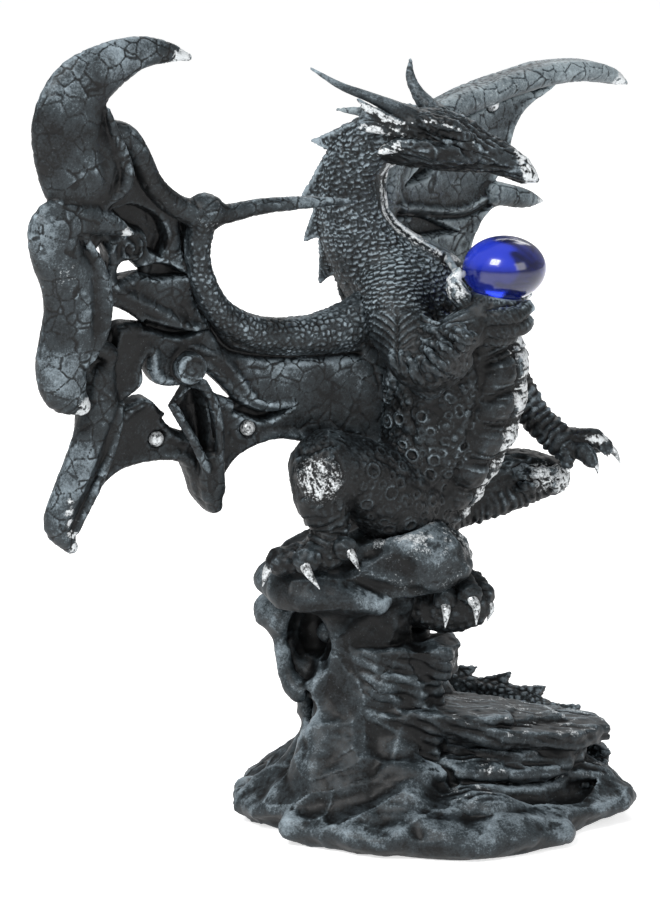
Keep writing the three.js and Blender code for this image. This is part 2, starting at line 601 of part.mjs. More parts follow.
function rightWing() {
  const edge = [
    [[-114, 76], [-105, 72], [-101, 61], [-88, 49], [-77, 44]],
    [[-77, 44], [-78, 30], [-74, 16], [-63, 3], [-50, -3], [-36, -5], [-18, -3], [6, 3]],
    [[6, 2], [8, -30], [4, -50]],
    [[4, -50], [-12, -51], [-27, -47], [-41, -44], [-54, -48], [-60, -54], [-62, -61], [-62, -69]],
    [[-62, -69], [-66, -70]],
    [[-66, -70], [-72, -63], [-75, -55], [-79, -49], [-90, -47], [-104, -49], [-114, -57], [-119, -69]],
    [[-119, -69], [-124, -74], [-129, -70]],
    [[-129, -70], [-127, -56], [-121, -38], [-121, -14], [-126, 12], [-123, 40], [-121, 60], [-120, 72]],
    [[-120, 72], [-114, 76]],
  ];
  const holes = [
    [[[-109, 26], [-104, 28], [-98, 23]], [[-98, 23], [-109, 22]], [[-109, 22], [-109, 26]]],
    [[[-114, 14], [-105, 10], [-96, 4]], [[-96, 4], [-107, 5], [-113, -2]], [[-113, -2], [-118, -1], [-114, 6], [-114, 14]]],
    [[[-95, -7], [-94, -14], [-89, -19], [-77, -20]], [[-77, -20], [-85, -30], [-95, -23], [-106, -27]],
      [[-106, -27], [-105, -23], [-97, -18], [-97, -11], [-95, -7]]],
    [[[-72, -15], [-65, -21], [-57, -29]], [[-57, -29], [-66, -25], [-74, -18]], [[-74, -18], [-72, -15]]],
    [[[-88, -31], [-83, -29], [-76, -39]], [[-76, -39], [-83, -36], [-88, -31]]],
    [[[-116, 36], [-113, 29], [-115, 20]], [[-115, 20], [-121, 28], [-116, 36]]],
  ];
  const recesses = [
    [[[-114, 47], [-104, 48], [-94, 42], [-89, 33], [-92, 27]], [[-92, 27], [-97, 31], [-99, 37], [-106, 39], [-114, 47]]],
    [[[-100, 26], [-90, 26], [-79, 20]], [[-79, 20], [-92, 20], [-100, 22]], [[-100, 22], [-100, 26]]],
    [[[-98, 7], [-84, 2], [-71, 0]], [[-71, 0], [-84, -2], [-98, 3]], [[-98, 3], [-98, 7]]],
    [[[-59, -27], [-46, -33], [-33, -31]], [[-33, -31], [-46, -37], [-60, -32]], [[-60, -32], [-59, -27]]],
  ];
  const sheet = withStuds(membrane(RIGHT_WING, edge, holes, recesses), RIGHT_WING, [[-90, -39], [-53, -39]]);

  const armBone = [
    [-78, 42, 2, 5],
    [-79, 30, 2, 4.4],
    [-75, 17, 1, 4.4],
    [-66, 5, 0, 5],
    [-53, -2, 0, 5.6],
    [-37, -5, 0, 6.4],
    [-20, -4, 0, 7.5],
    [-2, 2, 0, 9],
  ];
  const leadingFinger = [[-77, 43, 2, 5.2], [-87.5, 46.5, 2, 4], [-97.3, 54.7, 2, 3.8], [-103.2, 65, 2, 3.8], [-109, 72.5, 2, 4.2], [-116, 75, 2, 4]];
  const hook = [
    [-87, 99, 3, 1.2, 1],
    [-96, 101.5, 4, 3.6, 2.6],
    [-107, 102, 5, 5.6, 3.8],
    [-118, 98.5, 6, 8.2, 5],
    [-128, 92, 6, 10.8, 6],
    [-132.5, 83, 6, 12.6, 6.5],
    [-131.5, 72, 6, 13.8, 7],
    [-127, 61, 6, 14.6, 7],
    [-123, 51, 4, 11, 6],
  ];
  const outerLeaf = [
    [-108, 40, 8, 0.9, 0.9],
    [-116, 44, 9, 3.4, 3],
    [-127, 47, 9, 6.4, 5],
    [-137, 45, 9, 9.4, 6],
    [-136, 35, 8, 9, 6.5],
    [-131, 25, 7, 9.4, 6.5],
    [-128.5, 14, 7, 10.2, 6.5],
    [-130, 4, 7, 10.3, 6.5],
    [-132, -6, 7, 9.2, 6],
    [-130, -15, 7, 7.6, 5],
    [-123, -21, 6, 3.2, 3],
  ];
  const longSpike = [
    [-114, -12, 1, 5.6, 5],
    [-114, -26, 1, 6.8, 6],
    [-118.5, -41, 1, 6, 5.6],
    [-124, -55, 1, 5.6, 5],
    [-127.5, -66, 1, 5.2, 4.6],
    [-122, -75, 1, 2.4, 2.4],
  ];
  const stem = [[-106, 34, 0, 4, 4.5], [-113, 33, 1, 2.4, 4.6], [-115, 26, 1, 2.2, 4.6], [-112, 20, 0, 2.2, 4.6], [-104, 16, 0, 2.2, 4.6], [-88, 8, -1, 2.4, 4.6], [-72, 3, 0, 2.6, 4.6]];
  const thumb = [[-76, 43.5, 3, 4.8], [-70, 43.2, 4, 3.4], [-56, 45, 4, 2.8], [-36, 45.4, 5, 2], [-17, 44, 4, 0.5]];
  const leafRim = [[-78, -6, 0, 3, 6], [-72, -10, 0, 3, 6.5], [-62, -18, 0, 2.6, 6], [-52, -28, 0, 2.4, 5], [-40, -31, 0, 1.6, 4.6]];
  const spikeTwo = [[-72, -40, 0, 4, 6], [-68, -54, 1, 6, 6], [-64, -66, 1, 3.4, 4]];
  const scroll = new THREE.CylinderGeometry(5.4, 5.4, 17, 10).rotateX(Math.PI / 2).translate(-80, -12, -2);
  const knob = new THREE.BoxGeometry(7, 7, 12).rotateZ(0.5).translate(-116, -9, 0);
  return join([
    sheet,
    onWing(armBone, { sides: 8 }),
    onWing(leadingFinger),
    onWing(hook, { sides: 8 }),
    onWing(outerLeaf, { sides: 8 }),
    onWing(longSpike, { sides: 8 }),
    onWing(stem, { sides: 6 }),
    onWing(thumb),
    onWing(leafRim, { sides: 6 }),
    onWing(spikeTwo),
    solidOf(new THREE.SphereGeometry(7, 8, 6).translate(-77, 44, 2)),
    solidOf(scroll),
    solidOf(knob),
  ]);
}

function leftWing() {
  const edge = [
    [[-4, 62], [3, 66], [15, 70], [34, 75.5], [52, 79], [70, 82], [89, 82], [101, 79], [108, 74]],
    [[108, 74], [105, 72], [97, 73], [86, 74], [76, 73], [68, 69], [60, 64], [55, 56], [53, 46], [46, 37]],
    [[46, 37], [57, 35], [70, 30]],
    [[70, 30], [66, 27], [54, 29], [44, 25], [38, 14], [41, 6], [44, -2], [48, -14]],
    [[48, -14], [44, -18], [34, -12], [22, -6], [10, -8], [-2, -16]],
    [[-2, -16], [-10, -4], [-10, 4]],
    [[-10, 4], [-12, 24], [-10, 44], [-4, 63]],
  ];
  const slots = [
    [[[0, 40], [8, 47], [19, 50]], [[19, 50], [11, 43], [0, 40]]],
    [[[-2, 25], [10, 28], [31, 20]], [[31, 20], [12, 21], [-2, 25]]],
  ];
  const sheet = withStuds(membrane(LEFT_WING, edge, [], slots), LEFT_WING, [[46, 68], [30, 4]]);

  const armBone = [[-2, -4, 0, 8], [-8, 10, 0, 6.4], [-11, 28, 0, 5.4], [-9, 46, 0, 5], [-2, 64, 0, 5]];
  const leadingFinger = [
    [-2, 62, 0, 5.2, 5.2],
    [15, 66.4, 0, 4.6, 5],
    [34, 71, 0, 4.4, 5],
    [52, 75.5, 1, 4.2, 5],
    [70, 78.5, 2, 4.2, 4.6],
    [88, 78.5, 3, 3.8, 4],
    [101, 76, 3, 2.8, 3],
    [109, 72.5, 3, 0.8, 1],
  ];
  const middleFinger = [[-6, 52, 0, 3.4, 5], [10, 36, 0, 3, 5], [28, 29, 0, 3, 5], [46, 30, 0, 4.2, 5], [60, 31, 1, 3.4, 4], [70, 29, 1, 0.8, 1]];
  const lowFinger = [[-8, 40, 0, 3, 5], [8, 20, 0, 2.8, 4.8], [26, 6, 0, 3, 4.8], [40, -6, 0, 3.4, 4.4], [48, -16, 0, 0.9, 1]];
  const thumb = [[-2, 64, -2, 4, 4], [-7, 66, -13, 2.4, 2.4], [-14, 66, -24, 0.5, 0.5]];
  return join([
    sheet,
    onWing(armBone, { sides: 8 }),
    onWing(leadingFinger, { sides: 8 }),
    onWing(middleFinger, { sides: 6 }),
    onWing(lowFinger, { sides: 6 }),
    onWing(thumb, { sides: 6 }),
  ]);
}

// Each wing ends where it meets the body, a seam's width away
function bodyRoom() {
  return join([
    body(SEAM),
    limb(RIGHT_UPPER_ARM, { sides: 8, grow: SEAM }),
    limb(RIGHT_THIGH, { sides: 8, grow: SEAM }),
  ]);
}

// Materials
const resin = (name, color) => new THREE.MeshStandardMaterial({ name, color, roughness: 0.55, metalness: 0 });
const slateResin = resin('slate resin', 0x3c444b);
const paleSlateResin = resin('pale slate resin', 0x566068);
const blueGlass = new THREE.MeshStandardMaterial({
  name: 'blue glass', color: 0x1b2fc4, roughness: 0.03, metalness: 0, transparent: true, opacity: 0.6,
});

function piece(name, geometry, material) {
  const mesh = new THREE.Mesh(geometry, material);
  mesh.name = name;
  return mesh;
}

function ball() {
  const glass = new THREE.SphereGeometry(1, BALL.sides, Math.round(BALL.sides * 0.65));
  glass.rotateX(Math.PI / 2);
  glass.scale(BALL.across, BALL.across, BALL.high);
  glass.translate(...BALL.centre);
  return glass;
}

const room = bodyRoom();
const placed = (wing, frame) => cut(solidOf(geometryOf(wing).applyMatrix4(wingFrame(frame))), [room]);

const statue = new THREE.Group();
statue.name = 'dragon_statue';
statue.add(piece('dragon_on_rock', geometryOf(dragonOnRock()), slateResin));
statue.add(piece('right_wing', geometryOf(placed(rightWing(), RIGHT_WING)), slateResin));
statue.add(piece('left_wing', geometryOf(placed(leftWing(), LEFT_WING)), paleSlateResin));
statue.add(piece('glass_ball', ball(), blueGlass));

export default statue;
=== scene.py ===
"""Dragon statue: sculpts and paints a cast resin dragon, its rock, wings and glass ball.

Shapes are worked out in millimetres in the solids' own frame, as clay: forms are added to and cut from a
block, and its skin is carved with scales, fur, crackle and layers. The paint follows how far each place
stands out, with painted shade in the hollows and painted light on what faces up.
"""
import math
from itertools import product

import bpy
import numpy as np
import openvdb
from bpy.props import FloatProperty, IntProperty, PointerProperty
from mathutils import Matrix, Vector


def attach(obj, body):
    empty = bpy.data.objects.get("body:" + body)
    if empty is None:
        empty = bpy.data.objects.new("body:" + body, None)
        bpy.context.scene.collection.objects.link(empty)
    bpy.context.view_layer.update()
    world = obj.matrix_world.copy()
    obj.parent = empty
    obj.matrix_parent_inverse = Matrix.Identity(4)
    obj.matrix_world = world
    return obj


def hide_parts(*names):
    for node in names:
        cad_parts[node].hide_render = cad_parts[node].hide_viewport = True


bl_info = {
    "name": "Dragon Statue",
    "version": (1, 0, 0),
    "blender": (4, 5, 0),
    "location": "View3D > Sidebar > Dragon",
    "description": "Sculpts and paints a cast resin dragon statue round its packed solids",
    "category": "Add Mesh",
}

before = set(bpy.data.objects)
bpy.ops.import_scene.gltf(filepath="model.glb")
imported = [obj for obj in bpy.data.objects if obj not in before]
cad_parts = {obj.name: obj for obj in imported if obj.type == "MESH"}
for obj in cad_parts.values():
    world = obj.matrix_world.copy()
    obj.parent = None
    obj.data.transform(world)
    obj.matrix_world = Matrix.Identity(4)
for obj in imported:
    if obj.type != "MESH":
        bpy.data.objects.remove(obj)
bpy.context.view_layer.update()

MM = 0.001
FAR = 9.0  # distances in clay beyond this many millimetres don't matter
DRAFT = 1.0  # coarser clay while trying things
TRIANGLES = 196000  # the most that one cast piece keeps
BUDGETS = {"head": 150000, "tail": 70000, "left_wing": 130000}  # less, for smaller or plainer ones
BATCH = 60000  # points measured at a time, to spare memory
FINE_ROUNDS = max(2, round(5 / DRAFT))  # of smoothing, after which hairs, scales and cracks stand out
BROAD_ROUNDS = round(60 / DRAFT**2)  # of smoothing, after which folds and plates stand out

UP = np.array([0.0, 0.0, 1.0])


# Curves and patterns
def unit(vectors):
    return vectors / np.maximum(np.linalg.norm(vectors, axis=-1, keepdims=True), 1e-9)


def ease(values, low, high):
    """0 below low, 1 above high, and smooth between them."""
    t = np.clip((values - low) / (high - low), 0, 1)
    return t * t * (3 - 2 * t)


def hump(values, middle, width):
    """1 at the middle, falling smoothly to nothing about a width away."""
    return np.exp(-(((values - middle) / width) ** 2))


def curve(rows, detail):
    """Rows on a smooth curve through the given ones, with detail steps to each stretch."""
    rows = np.array(rows, float)
    ends = np.vstack([2 * rows[0] - rows[1], rows, 2 * rows[-1] - rows[-2]])
    t = np.linspace(0, 1, detail, endpoint=False)[:, None]
    pieces = []
    for a, b, c, d in zip(ends, ends[1:], ends[2:], ends[3:]):
        square, cube = 2 * a - 5 * b + 4 * c - d, 3 * b - a - 3 * c + d
        pieces.append(0.5 * (2 * b + (c - a) * t + square * t**2 + cube * t**3))
    return np.vstack([*pieces, rows[-1:]])


class Course:
    """A limb's middle line, with its frame and its two half sizes at each step."""

    def __init__(self, stations, facing=(0, 1, 0), detail=4):
        rows = curve([s if len(s) == 5 else [*s, s[3]] for s in stations], detail)
        self.middle = rows[:, :3]
        self.wide, self.deep = np.maximum(rows[:, 3], 0.15), np.maximum(rows[:, 4], 0.15)
        self.tangent = unit(np.gradient(self.middle, axis=0))
        facing = np.array(facing, float)
        self.face = unit(facing - (self.tangent @ facing)[:, None] * self.tangent)
        self.side = np.cross(self.face, self.tangent)
        steps = np.linalg.norm(np.diff(self.middle, axis=0), axis=1)
        self.length = np.concatenate([[0], np.cumsum(steps)])
        self.share = np.linspace(0, 1, len(rows))

    def place(self, points):
        """Where points lie by the course.

        Given as millimetres along it, share of it, bearing, and girth as a share of its skin's.
        """
        found = np.empty(len(points), int)
        middle = self.middle.astype(np.float32)
        square = (middle**2).sum(1)
        for start in range(0, len(points), BATCH):
            part = points[start:start + BATCH].astype(np.float32)
            found[start:start + BATCH] = (square - 2 * part @ middle.T).argmin(1)
        away = points - self.middle[found]
        ahead = (away * self.tangent[found]).sum(1)
        side = (away * self.side[found]).sum(1)
        face = (away * self.face[found]).sum(1)
        along = self.length[found] + ahead
        girth = np.hypot(side / self.wide[found], face / self.deep[found])
        beyond = np.maximum(np.abs(ahead) - 3, 0) / np.minimum(self.wide[found], self.deep[found])
        share = self.share[found] + ahead / self.length[-1]
        return along, share, np.degrees(np.arctan2(face, side)), girth + beyond


def rolls(cells, seed):
    """A fixed number from 0 to 1 for each whole-numbered cell, the same on every run."""
    mixed = cells @ np.array([374761393, 668265263, 1103515245], np.int64) + seed * 1274126177
    mixed = (mixed ^ (mixed >> 13)) * 1274126177
    mixed = (mixed ^ (mixed >> 16)) & 0xFFFFFF
    return mixed / float(0x1000000)


def noise(points, size, seed=1):
    """Smooth noise from -1 to 1 with lumps about size across."""
    scaled = points / size
    base = np.floor(scaled)
    blend = scaled - base
    blend = blend * blend * (3 - 2 * blend)
    cells = base.astype(np.int64)
    total = np.zeros(len(points))
    for corner in product((0, 1), repeat=3):
        weight = np.prod(np.where(corner, blend, 1 - blend), axis=1)
        total += weight * rolls(cells + np.array(corner), seed)
    return 2 * total - 1


def rough(points, size, octaves=3, seed=1):
    """Noise with finer noise laid over it."""
    return sum(noise(points, size / 2**k, seed + k) / 2**k for k in range(octaves))


def cells(points, size, seed=1, jitter=0.85):
    """Distances to the nearest two of scattered centres, the nearest one's number, and the way from it."""
    scaled = points / size
    base = np.floor(scaled).astype(np.int64)
    first = np.full(len(points), 9.0)
    second = np.full(len(points), 9.0)
    mark = np.zeros(len(points))
    way = np.zeros_like(points)
    for offset in product((-1, 0, 1), repeat=3):
        cell = base + np.array(offset)
        draws = np.stack([rolls(cell, seed + k) for k in range(3)], axis=1)
        gap = scaled - cell - 0.5 - jitter * (draws - 0.5)
        far = np.sqrt((gap**2).sum(1))
        closer = far < first
        second = np.where(closer, first, np.minimum(second, far))
        first = np.where(closer, far, first)
        mark = np.where(closer, draws[:, 0], mark)
        way[closer] = gap[closer]
    return first * size, second * size, mark, way * size


def stretched(points, direction, factor):
    """Points squeezed along a direction, so that a pattern laid on them runs that way."""
    direction = unit(np.array(direction, float))
    return points - np.outer(points @ direction, direction) * (1 - 1 / factor)


def warped(points, reach, size, seed):
    """Points moved about by smooth noise, so that a pattern laid on them wanders."""
    return points + reach * np.stack([noise(points, size, seed + k) for k in range(3)], axis=1)


def strands(points, direction, fine, factor=7, seed=1):
    """Ridges, from 0 to 1, that run along a direction like hair or carved stone."""
    flow = stretched(points, direction, factor)
    wander = 0.5 * fine * noise(points, 4 * fine, seed + 7)[:, None]
    return 1 - np.abs(noise(flow + wander, fine, seed))


def flakes(points, direction, size, seed=1):
    """Overlapping scales that point along a direction, from 0 at a sunk root to about 1 at a free edge."""
    direction = unit(np.array(direction, float))
    first, second, mark, way = cells(stretched(points, direction, 0.62), size, seed, 0.7)
    tilt = np.clip(way @ direction / (0.9 * size) + 0.5, 0, 1) ** 1.4
    return tilt * ease(second - first, 0, 0.2 * size) + 0.2 * mark


def scoops(points, size, seed=1):
    """Worn hollows that meet in ridges, from 0 in a hollow's middle to about 1 on a ridge."""
    first, _, mark, _ = cells(points, size, seed, 0.9)
    return (first / (0.75 * size)) ** 1.5 + 0.25 * mark


def from_line(x, z, rows):
    """Distance, as seen from the front, from a smooth line through rows of [x, z]."""
    return np.min([np.hypot(x - a, z - b) for a, b in curve(rows, 5)], axis=0)


def apart(bearing, middle=0):
    """Degrees between two bearings, the shorter way round."""
    return np.abs((bearing - middle + 180) % 360 - 180)


# Clay
def soft_join(a, b, soft):
    """The lesser of two distances, with a soft edge where they meet."""
    t = np.clip(0.5 + 0.5 * (b - a) / soft, 0, 1)
    return b + (a - b) * t - soft * t * (1 - t)


class Clay:
    """A block that holds, at each grain, the distance to the shape's skin, less than nothing inside it."""

    def __init__(self, low, high, grain):
        self.grain = grain * DRAFT
        self.low = np.array(low, float)
        self.shape = (np.ceil((np.array(high) - self.low) / self.grain) + 1).astype(int)
        self.field = np.full(self.shape, FAR, np.float32)

    def window(self, low, high):
        """The grains from low to high: the first, the one after the last, and their places."""
        first = np.clip(np.floor((np.array(low) - self.low) / self.grain), 0, self.shape - 1).astype(int)
        last = np.ceil((np.array(high) - self.low) / self.grain) + 1
        last = np.clip(last, first + 1, self.shape).astype(int)
        axes = [np.float32(self.low[i] + self.grain * np.arange(first[i], last[i])) for i in range(3)]
        return first, last, np.meshgrid(*axes, indexing="ij", sparse=True)

    def merge(self, first, last, form, soft, cut):
        """Adds a form to the block, or cuts it away, with a soft edge where it meets what is there."""
        spans = tuple(slice(a, b) for a, b in zip(first, last))
        old = self.field[spans]
        self.field[spans] = -soft_join(-old, form, soft) if cut else soft_join(old, form, soft)

    def put(self, low, high, distance, soft=1.0, cut=False):
        """A form from its distance function, between two corners."""
        reach = soft + 2 * self.grain
        first, last, grids = self.window(np.array(low) - reach, np.array(high) + reach)
        self.merge(first, last, np.float32(distance(*grids)), soft, cut)

    def limb(self, stations, soft=1.5, facing=(0, 1, 0), detail=4, cut=False):
        """A limb with oval sections through stations [x, y, z, half size, other half size]."""
        course = Course(stations, facing, detail)
        size = np.maximum(course.wide, course.deep)
        reach = soft + 2 * self.grain
        room = size.max() + reach + 0.01
        first, last, _ = self.window(course.middle.min(0) - room, course.middle.max(0) + room)
        near = np.full(last - first, FAR, np.float32)
        for k in range(len(size) - 1):
            a, b = course.middle[k], course.middle[k + 1]
            pad = max(size[k], size[k + 1]) + reach
            f, t, (x, y, z) = self.window(np.minimum(a, b) - pad, np.maximum(a, b) + pad)
            length = np.linalg.norm(b - a)
            axis = (b - a) / length
            side = unit(course.side[k] - (course.side[k] @ axis) * axis)
            face = np.cross(axis, side)
            x, y, z = x - np.float32(a[0]), y - np.float32(a[1]), z - np.float32(a[2])
            ahead = x * axis[0] + y * axis[1] + z * axis[2]
            share = np.clip(ahead / length, 0, 1)
            across = x * side[0] + y * side[1] + z * side[2]
            over = x * face[0] + y * face[1] + z * face[2]
            wide = course.wide[k] + (course.wide[k + 1] - course.wide[k]) * share
            deep = course.deep[k] + (course.deep[k + 1] - course.deep[k]) * share
            thin = np.minimum(wide, deep)
            beyond = (ahead - share * length) / thin
            across, over = across / wide, over / deep
            reached = np.sqrt(across**2 + over**2 + beyond**2)
            slope = np.sqrt((across / wide) ** 2 + (over / deep) ** 2 + (beyond / thin) ** 2)
            gap = (reached - 1) * np.where(slope > 1e-5, reached / np.maximum(slope, 1e-5), thin)
            spans = tuple(slice(p, q) for p, q in zip(f - first, t - first))
            near[spans] = np.minimum(near[spans], gap)
        self.merge(first, last, near, soft, cut)

    def ball(self, centre, radii, soft=1.5, cut=False):
        cx, cy, cz = centre
        a, b, c = radii

        def distance(x, y, z):
            x, y, z = (x - cx) / a, (y - cy) / b, (z - cz) / c
            reached = np.sqrt(x**2 + y**2 + z**2)
            slope = np.sqrt((x / a) ** 2 + (y / b) ** 2 + (z / c) ** 2)
            return (reached - 1) * reached / np.maximum(slope, 1e-4)

        radii = np.array(radii)
        self.put(np.array(centre) - radii, np.array(centre) + radii, distance, soft, cut)

    def run(self, x, z):
        """Where a line from the front at x and z enters the clay, and where it leaves it, or None."""
        column, row = (int(round((c - o) / self.grain)) for c, o in ((x, self.low[0]), (z, self.low[2])))
        within = np.flatnonzero(self.field[column, :, row] < 0)
        return None if len(within) == 0 else tuple(self.low[1] + within[[0, -1]] * self.grain)

    def skin(self):
        """The surface, as points in millimetres and four-cornered faces that point outwards."""
        grid = openvdb.FloatGrid(3.0)
        grid.copyFromArray(np.clip(self.field, -3, 3).astype(float), tolerance=0.0)
        points, _, quads = grid.convertToPolygons(isovalue=0.0, adaptivity=0.0)
        return outer_shell(self.low + points.astype(float) * self.grain, quads.astype(np.int64))


def edges_of(faces):
    return np.vstack([faces[:, [k, (k + 1) % 4]] for k in range(4)])


def outer_shell(points, faces):
    """The largest joined-up part of a mesh, with its faces turned outwards."""
    label = np.arange(len(points))
    edges = edges_of(faces)
    while True:
        least = np.minimum(label[edges[:, 0]], label[edges[:, 1]])
        fresh = label.copy()
        np.minimum.at(fresh, label[edges[:, 0]], least)
        np.minimum.at(fresh, label[edges[:, 1]], least)
        fresh = fresh[fresh]
        if (fresh == label).all():
            break
        label = fresh
    kept = label == np.bincount(label).argmax()
    number = np.cumsum(kept) - 1
    faces = number[faces[kept[faces[:, 0]]]]
    points = points[kept]
    a, b, c = (points[faces[:, k]] for k in (0, 1, 2))
    outward = (a * np.cross(b, c)).sum() > 0
    return points, faces if outward else faces[:, ::-1]


def normals_of(points, faces):
    corner = [points[faces[:, k]] for k in range(4)]
    face = np.cross(corner[2] - corner[0], corner[3] - corner[1])
    total = np.stack([
        sum(np.bincount(faces[:, k], face[:, axis], len(points)) for k in range(4)) for axis in range(3)
    ], axis=1)
    return unit(total)


def relief_of(points, faces, rounds):
    """How many millimetres each point stands out from its surroundings, which grow with the rounds."""
    edges = edges_of(faces)
    count = np.bincount(edges[:, 0], minlength=len(points)) + np.bincount(edges[:, 1], minlength=len(points))
    smooth = points.copy()
    for _ in range(rounds):
        total = np.stack([
            np.bincount(edges[:, 0], smooth[edges[:, 1], axis], len(points))
            + np.bincount(edges[:, 1], smooth[edges[:, 0], axis], len(points)) for axis in range(3)
        ], axis=1)
        smooth = total / count[:, None]
    return ((points - smooth) * normals_of(points, faces)).sum(1)


def linked(name, data):
    """An object that holds the data, in the scene."""
    piece = bpy.data.objects.new(name, data)
    bpy.context.scene.collection.objects.link(piece)
    return piece


def smoothed(piece):
    polygons = piece.data.polygons
    polygons.foreach_set("use_smooth", [True] * len(polygons))
    return piece


def mesh_of(name, points, faces, paint, triangles=TRIANGLES):
    """A mesh from points in millimetres, thinned to its budget, with named values for the paint."""
    mesh = bpy.data.meshes.new(name)
    corners = faces.shape[1]
    mesh.vertices.add(len(points))
    mesh.vertices.foreach_set("co", (points * MM).ravel().astype(np.float32))
    mesh.loops.add(faces.size)
    mesh.loops.foreach_set("vertex_index", faces.ravel().astype(np.int32))
    mesh.polygons.add(len(faces))
    mesh.polygons.foreach_set("loop_start", np.arange(0, faces.size, corners, dtype=np.int32))
    mesh.update(calc_edges=True)
    for key, values in paint.items():
        layer = mesh.attributes.new(key, "FLOAT", "POINT")
        layer.data.foreach_set("value", np.asarray(values, np.float32))
    piece = linked(name, mesh)
    count = len(faces) * (corners - 2)
    if count > triangles:
        thin = piece.modifiers.new("thin", "DECIMATE")
        thin.ratio = triangles / count
        make_plain(piece)
    return smoothed(piece)


def make_plain(piece):
    """Puts the result of a piece's modifiers into its mesh."""
    shown = piece.evaluated_get(bpy.context.evaluated_depsgraph_get())
    mesh = bpy.data.meshes.new_from_object(shown)
    old = piece.data
    piece.modifiers.clear()
    piece.data = mesh
    mesh.name = piece.name
    bpy.data.meshes.remove(old)


def hand_over(piece, material, slot, *nodes):
    """Gives a finished piece its material, its body and the nodes it stands for. The slot is not used."""
    if len(piece.data.polygons) == 0:
        raise RuntimeError(f"{piece.name} came out empty")
    piece.data.materials.clear()
    piece.data.materials.append(material)
    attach(piece, "root")
    if nodes:
        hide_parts(*nodes)


def tone_of(points, faces, paint_and_painted_light, up, dry):
    """How light the paint is, 0 to 1: black washed into fine hollows, painted shade in broad hollows, painted
    light on what faces up, and dry-brushing on what stands out.
    """
    fine = relief_of(points, faces, FINE_ROUNDS)
    broad = relief_of(points, faces, BROAD_ROUNDS)
    upward = normals_of(points, faces) @ up
    # Hollows darker: fine recesses black-washed, broad folds in painted shade
    wash_and_painted_shade = (0.06 + 0.94 * ease(fine, -0.16, 0.04)) * (0.06 + 0.94 * ease(broad, -1.2, 0.5))
    brushed = dry * ease(fine, 0.04, 0.3) * (0.44 + 0.36 * rough(points, 1.4, 2, 99)) * (0.55 + 0.45 * paint_and_painted_light)
    # Places facing up are lighter: painted light from above
    ground = 0.03 + 0.66 * paint_and_painted_light + 0.2 * upward + 0.16 * noise(points, 9, 98) + 0.1 * noise(points, 3, 97)
    return np.clip(np.maximum(ground, 0.03) * wash_and_painted_shade + brushed, 0, 1), fine


def cast(name, clay, carve, material, slot, *nodes, triangles=TRIANGLES, axes=None, root=0, dry=1):
    """Turns clay into a painted piece. carve gives each point's height in mm, its silver, and its lightness
    with painted light and shade.
    """
    points, faces = clay.skin()
    normals = normals_of(points, faces)
    height, silver, paint_and_painted_light = carve(points, normals)
    points = points + normals * height[:, None]
    tone, fine = tone_of(points, faces, paint_and_painted_light, UP if axes is None else axes @ UP, dry)
    paint = {"tone": tone, "silver": silver * ease(fine, -0.16, 0.06)}
    if axes is not None:
        points = points @ axes + root
    hand_over(mesh_of(name, points, faces, paint, triangles), material, slot, *nodes)


def spots(points, places):
    """1 at each place [x, y, z, reach], falling to 0 at its reach."""
    total = np.zeros(len(points))
    for x, y, z, reach in places:
        far = np.linalg.norm(points - np.array([x, y, z]), axis=1)
        total = np.maximum(total, 1 - ease(far, 0.35 * reach, reach))
    return total


# The dragon's routes, as [x, y, z, half size, other half size] in millimetres
SPINE = [
    [-10, 5, 108, 14, 15], [-8, 4, 119, 18, 18], [-3, 2, 132, 21, 20], [2, 0, 146, 24, 22],
    [5, 0, 160, 26, 23], [4.6, 0, 172, 26, 23], [-0.8, 0, 183.5, 24, 22], [-9, 0, 194, 21.4, 20],
    [-18, 0, 203, 17.6, 17], [-26.5, 0, 213, 14.6, 14], [-30.5, 0, 223, 13, 12],
    [-31.5, 0, 233, 12, 10.5], [-30, -1, 243, 11, 9.5], [-22, -3, 252, 10, 9], [-12, -5, 255, 10, 9.5],
]
PLATES = {"count": 8, "from": 0.05, "to": 0.47, "high": 3.2, "edge": 50}
KEEL = {"high": 2.6, "to": 0.88}
RIGHT_UPPER_ARM = [[-13, -8, 200, 12], [-16, -18, 195, 12], [-13, -26, 185, 10.5], [-7, -32, 176, 9]]
RIGHT_FOREARM = [[-8, -32, 176, 9], [0, -36, 181, 7.5], [9, -36, 188, 6.8], [18, -32, 194, 6.5]]
LEFT_ARM = [
    [6, 12, 188, 11], [16, 17, 176, 9.5], [26.4, 19, 162, 7.2], [33, 18, 152, 6], [40.4, 16, 143, 5.4],
    [47, 13, 137.5, 5.2],
]
LEFT_FINGERS = [
    [[46, 13, 138, 3.8], [59, 9, 139.5, 2.8], [64, 7.5, 136, 2]],
    [[46, 12, 136, 3.8], [55, 7, 134.5, 2.8], [58, 5.5, 131, 2]],
    [[46, 12, 137, 3.6], [49, 8, 133, 2.8], [49, 6.5, 130, 2]],
    [[46, 16, 138, 3.8], [57, 17, 138, 2.8], [61, 17.6, 134.5, 2]],
]
RIGHT_THIGH = [[-10, -4, 119, 16], [-17, -14, 123, 16], [-29, -23, 132, 13.5], [-40, -30, 137, 12.5]]
RIGHT_SHIN = [[-41, -30, 136, 12], [-42, -33, 125, 9], [-39, -32, 115, 6.2], [-41, -34, 107, 7]]
RIGHT_TOES = [
    [[-38, -35, 108, 4.6], [-34, -40, 109, 3.4]],
    [[-42, -36, 107, 4.6], [-48, -42, 105, 3.6]],
    [[-45, -34, 106, 4.6], [-57, -35, 103, 4.4]],
    [[-40, -30, 107, 4.6], [-44, -22, 107, 3.4]],
]
LEFT_THIGH = [
    [-6, 10, 117, 16], [8, 16, 119, 13], [22, 20, 121.5, 10], [34, 22, 123, 8.5], [44, 20, 122.5, 6],
]
LEFT_SHIN = [
    [44, 20, 122.5, 6], [35, 18, 119, 6], [20, 12, 113.5, 5.2], [6, 7, 110, 5], [-5, 0, 101, 4.8],
    [1, -6, 91, 5.6],
]
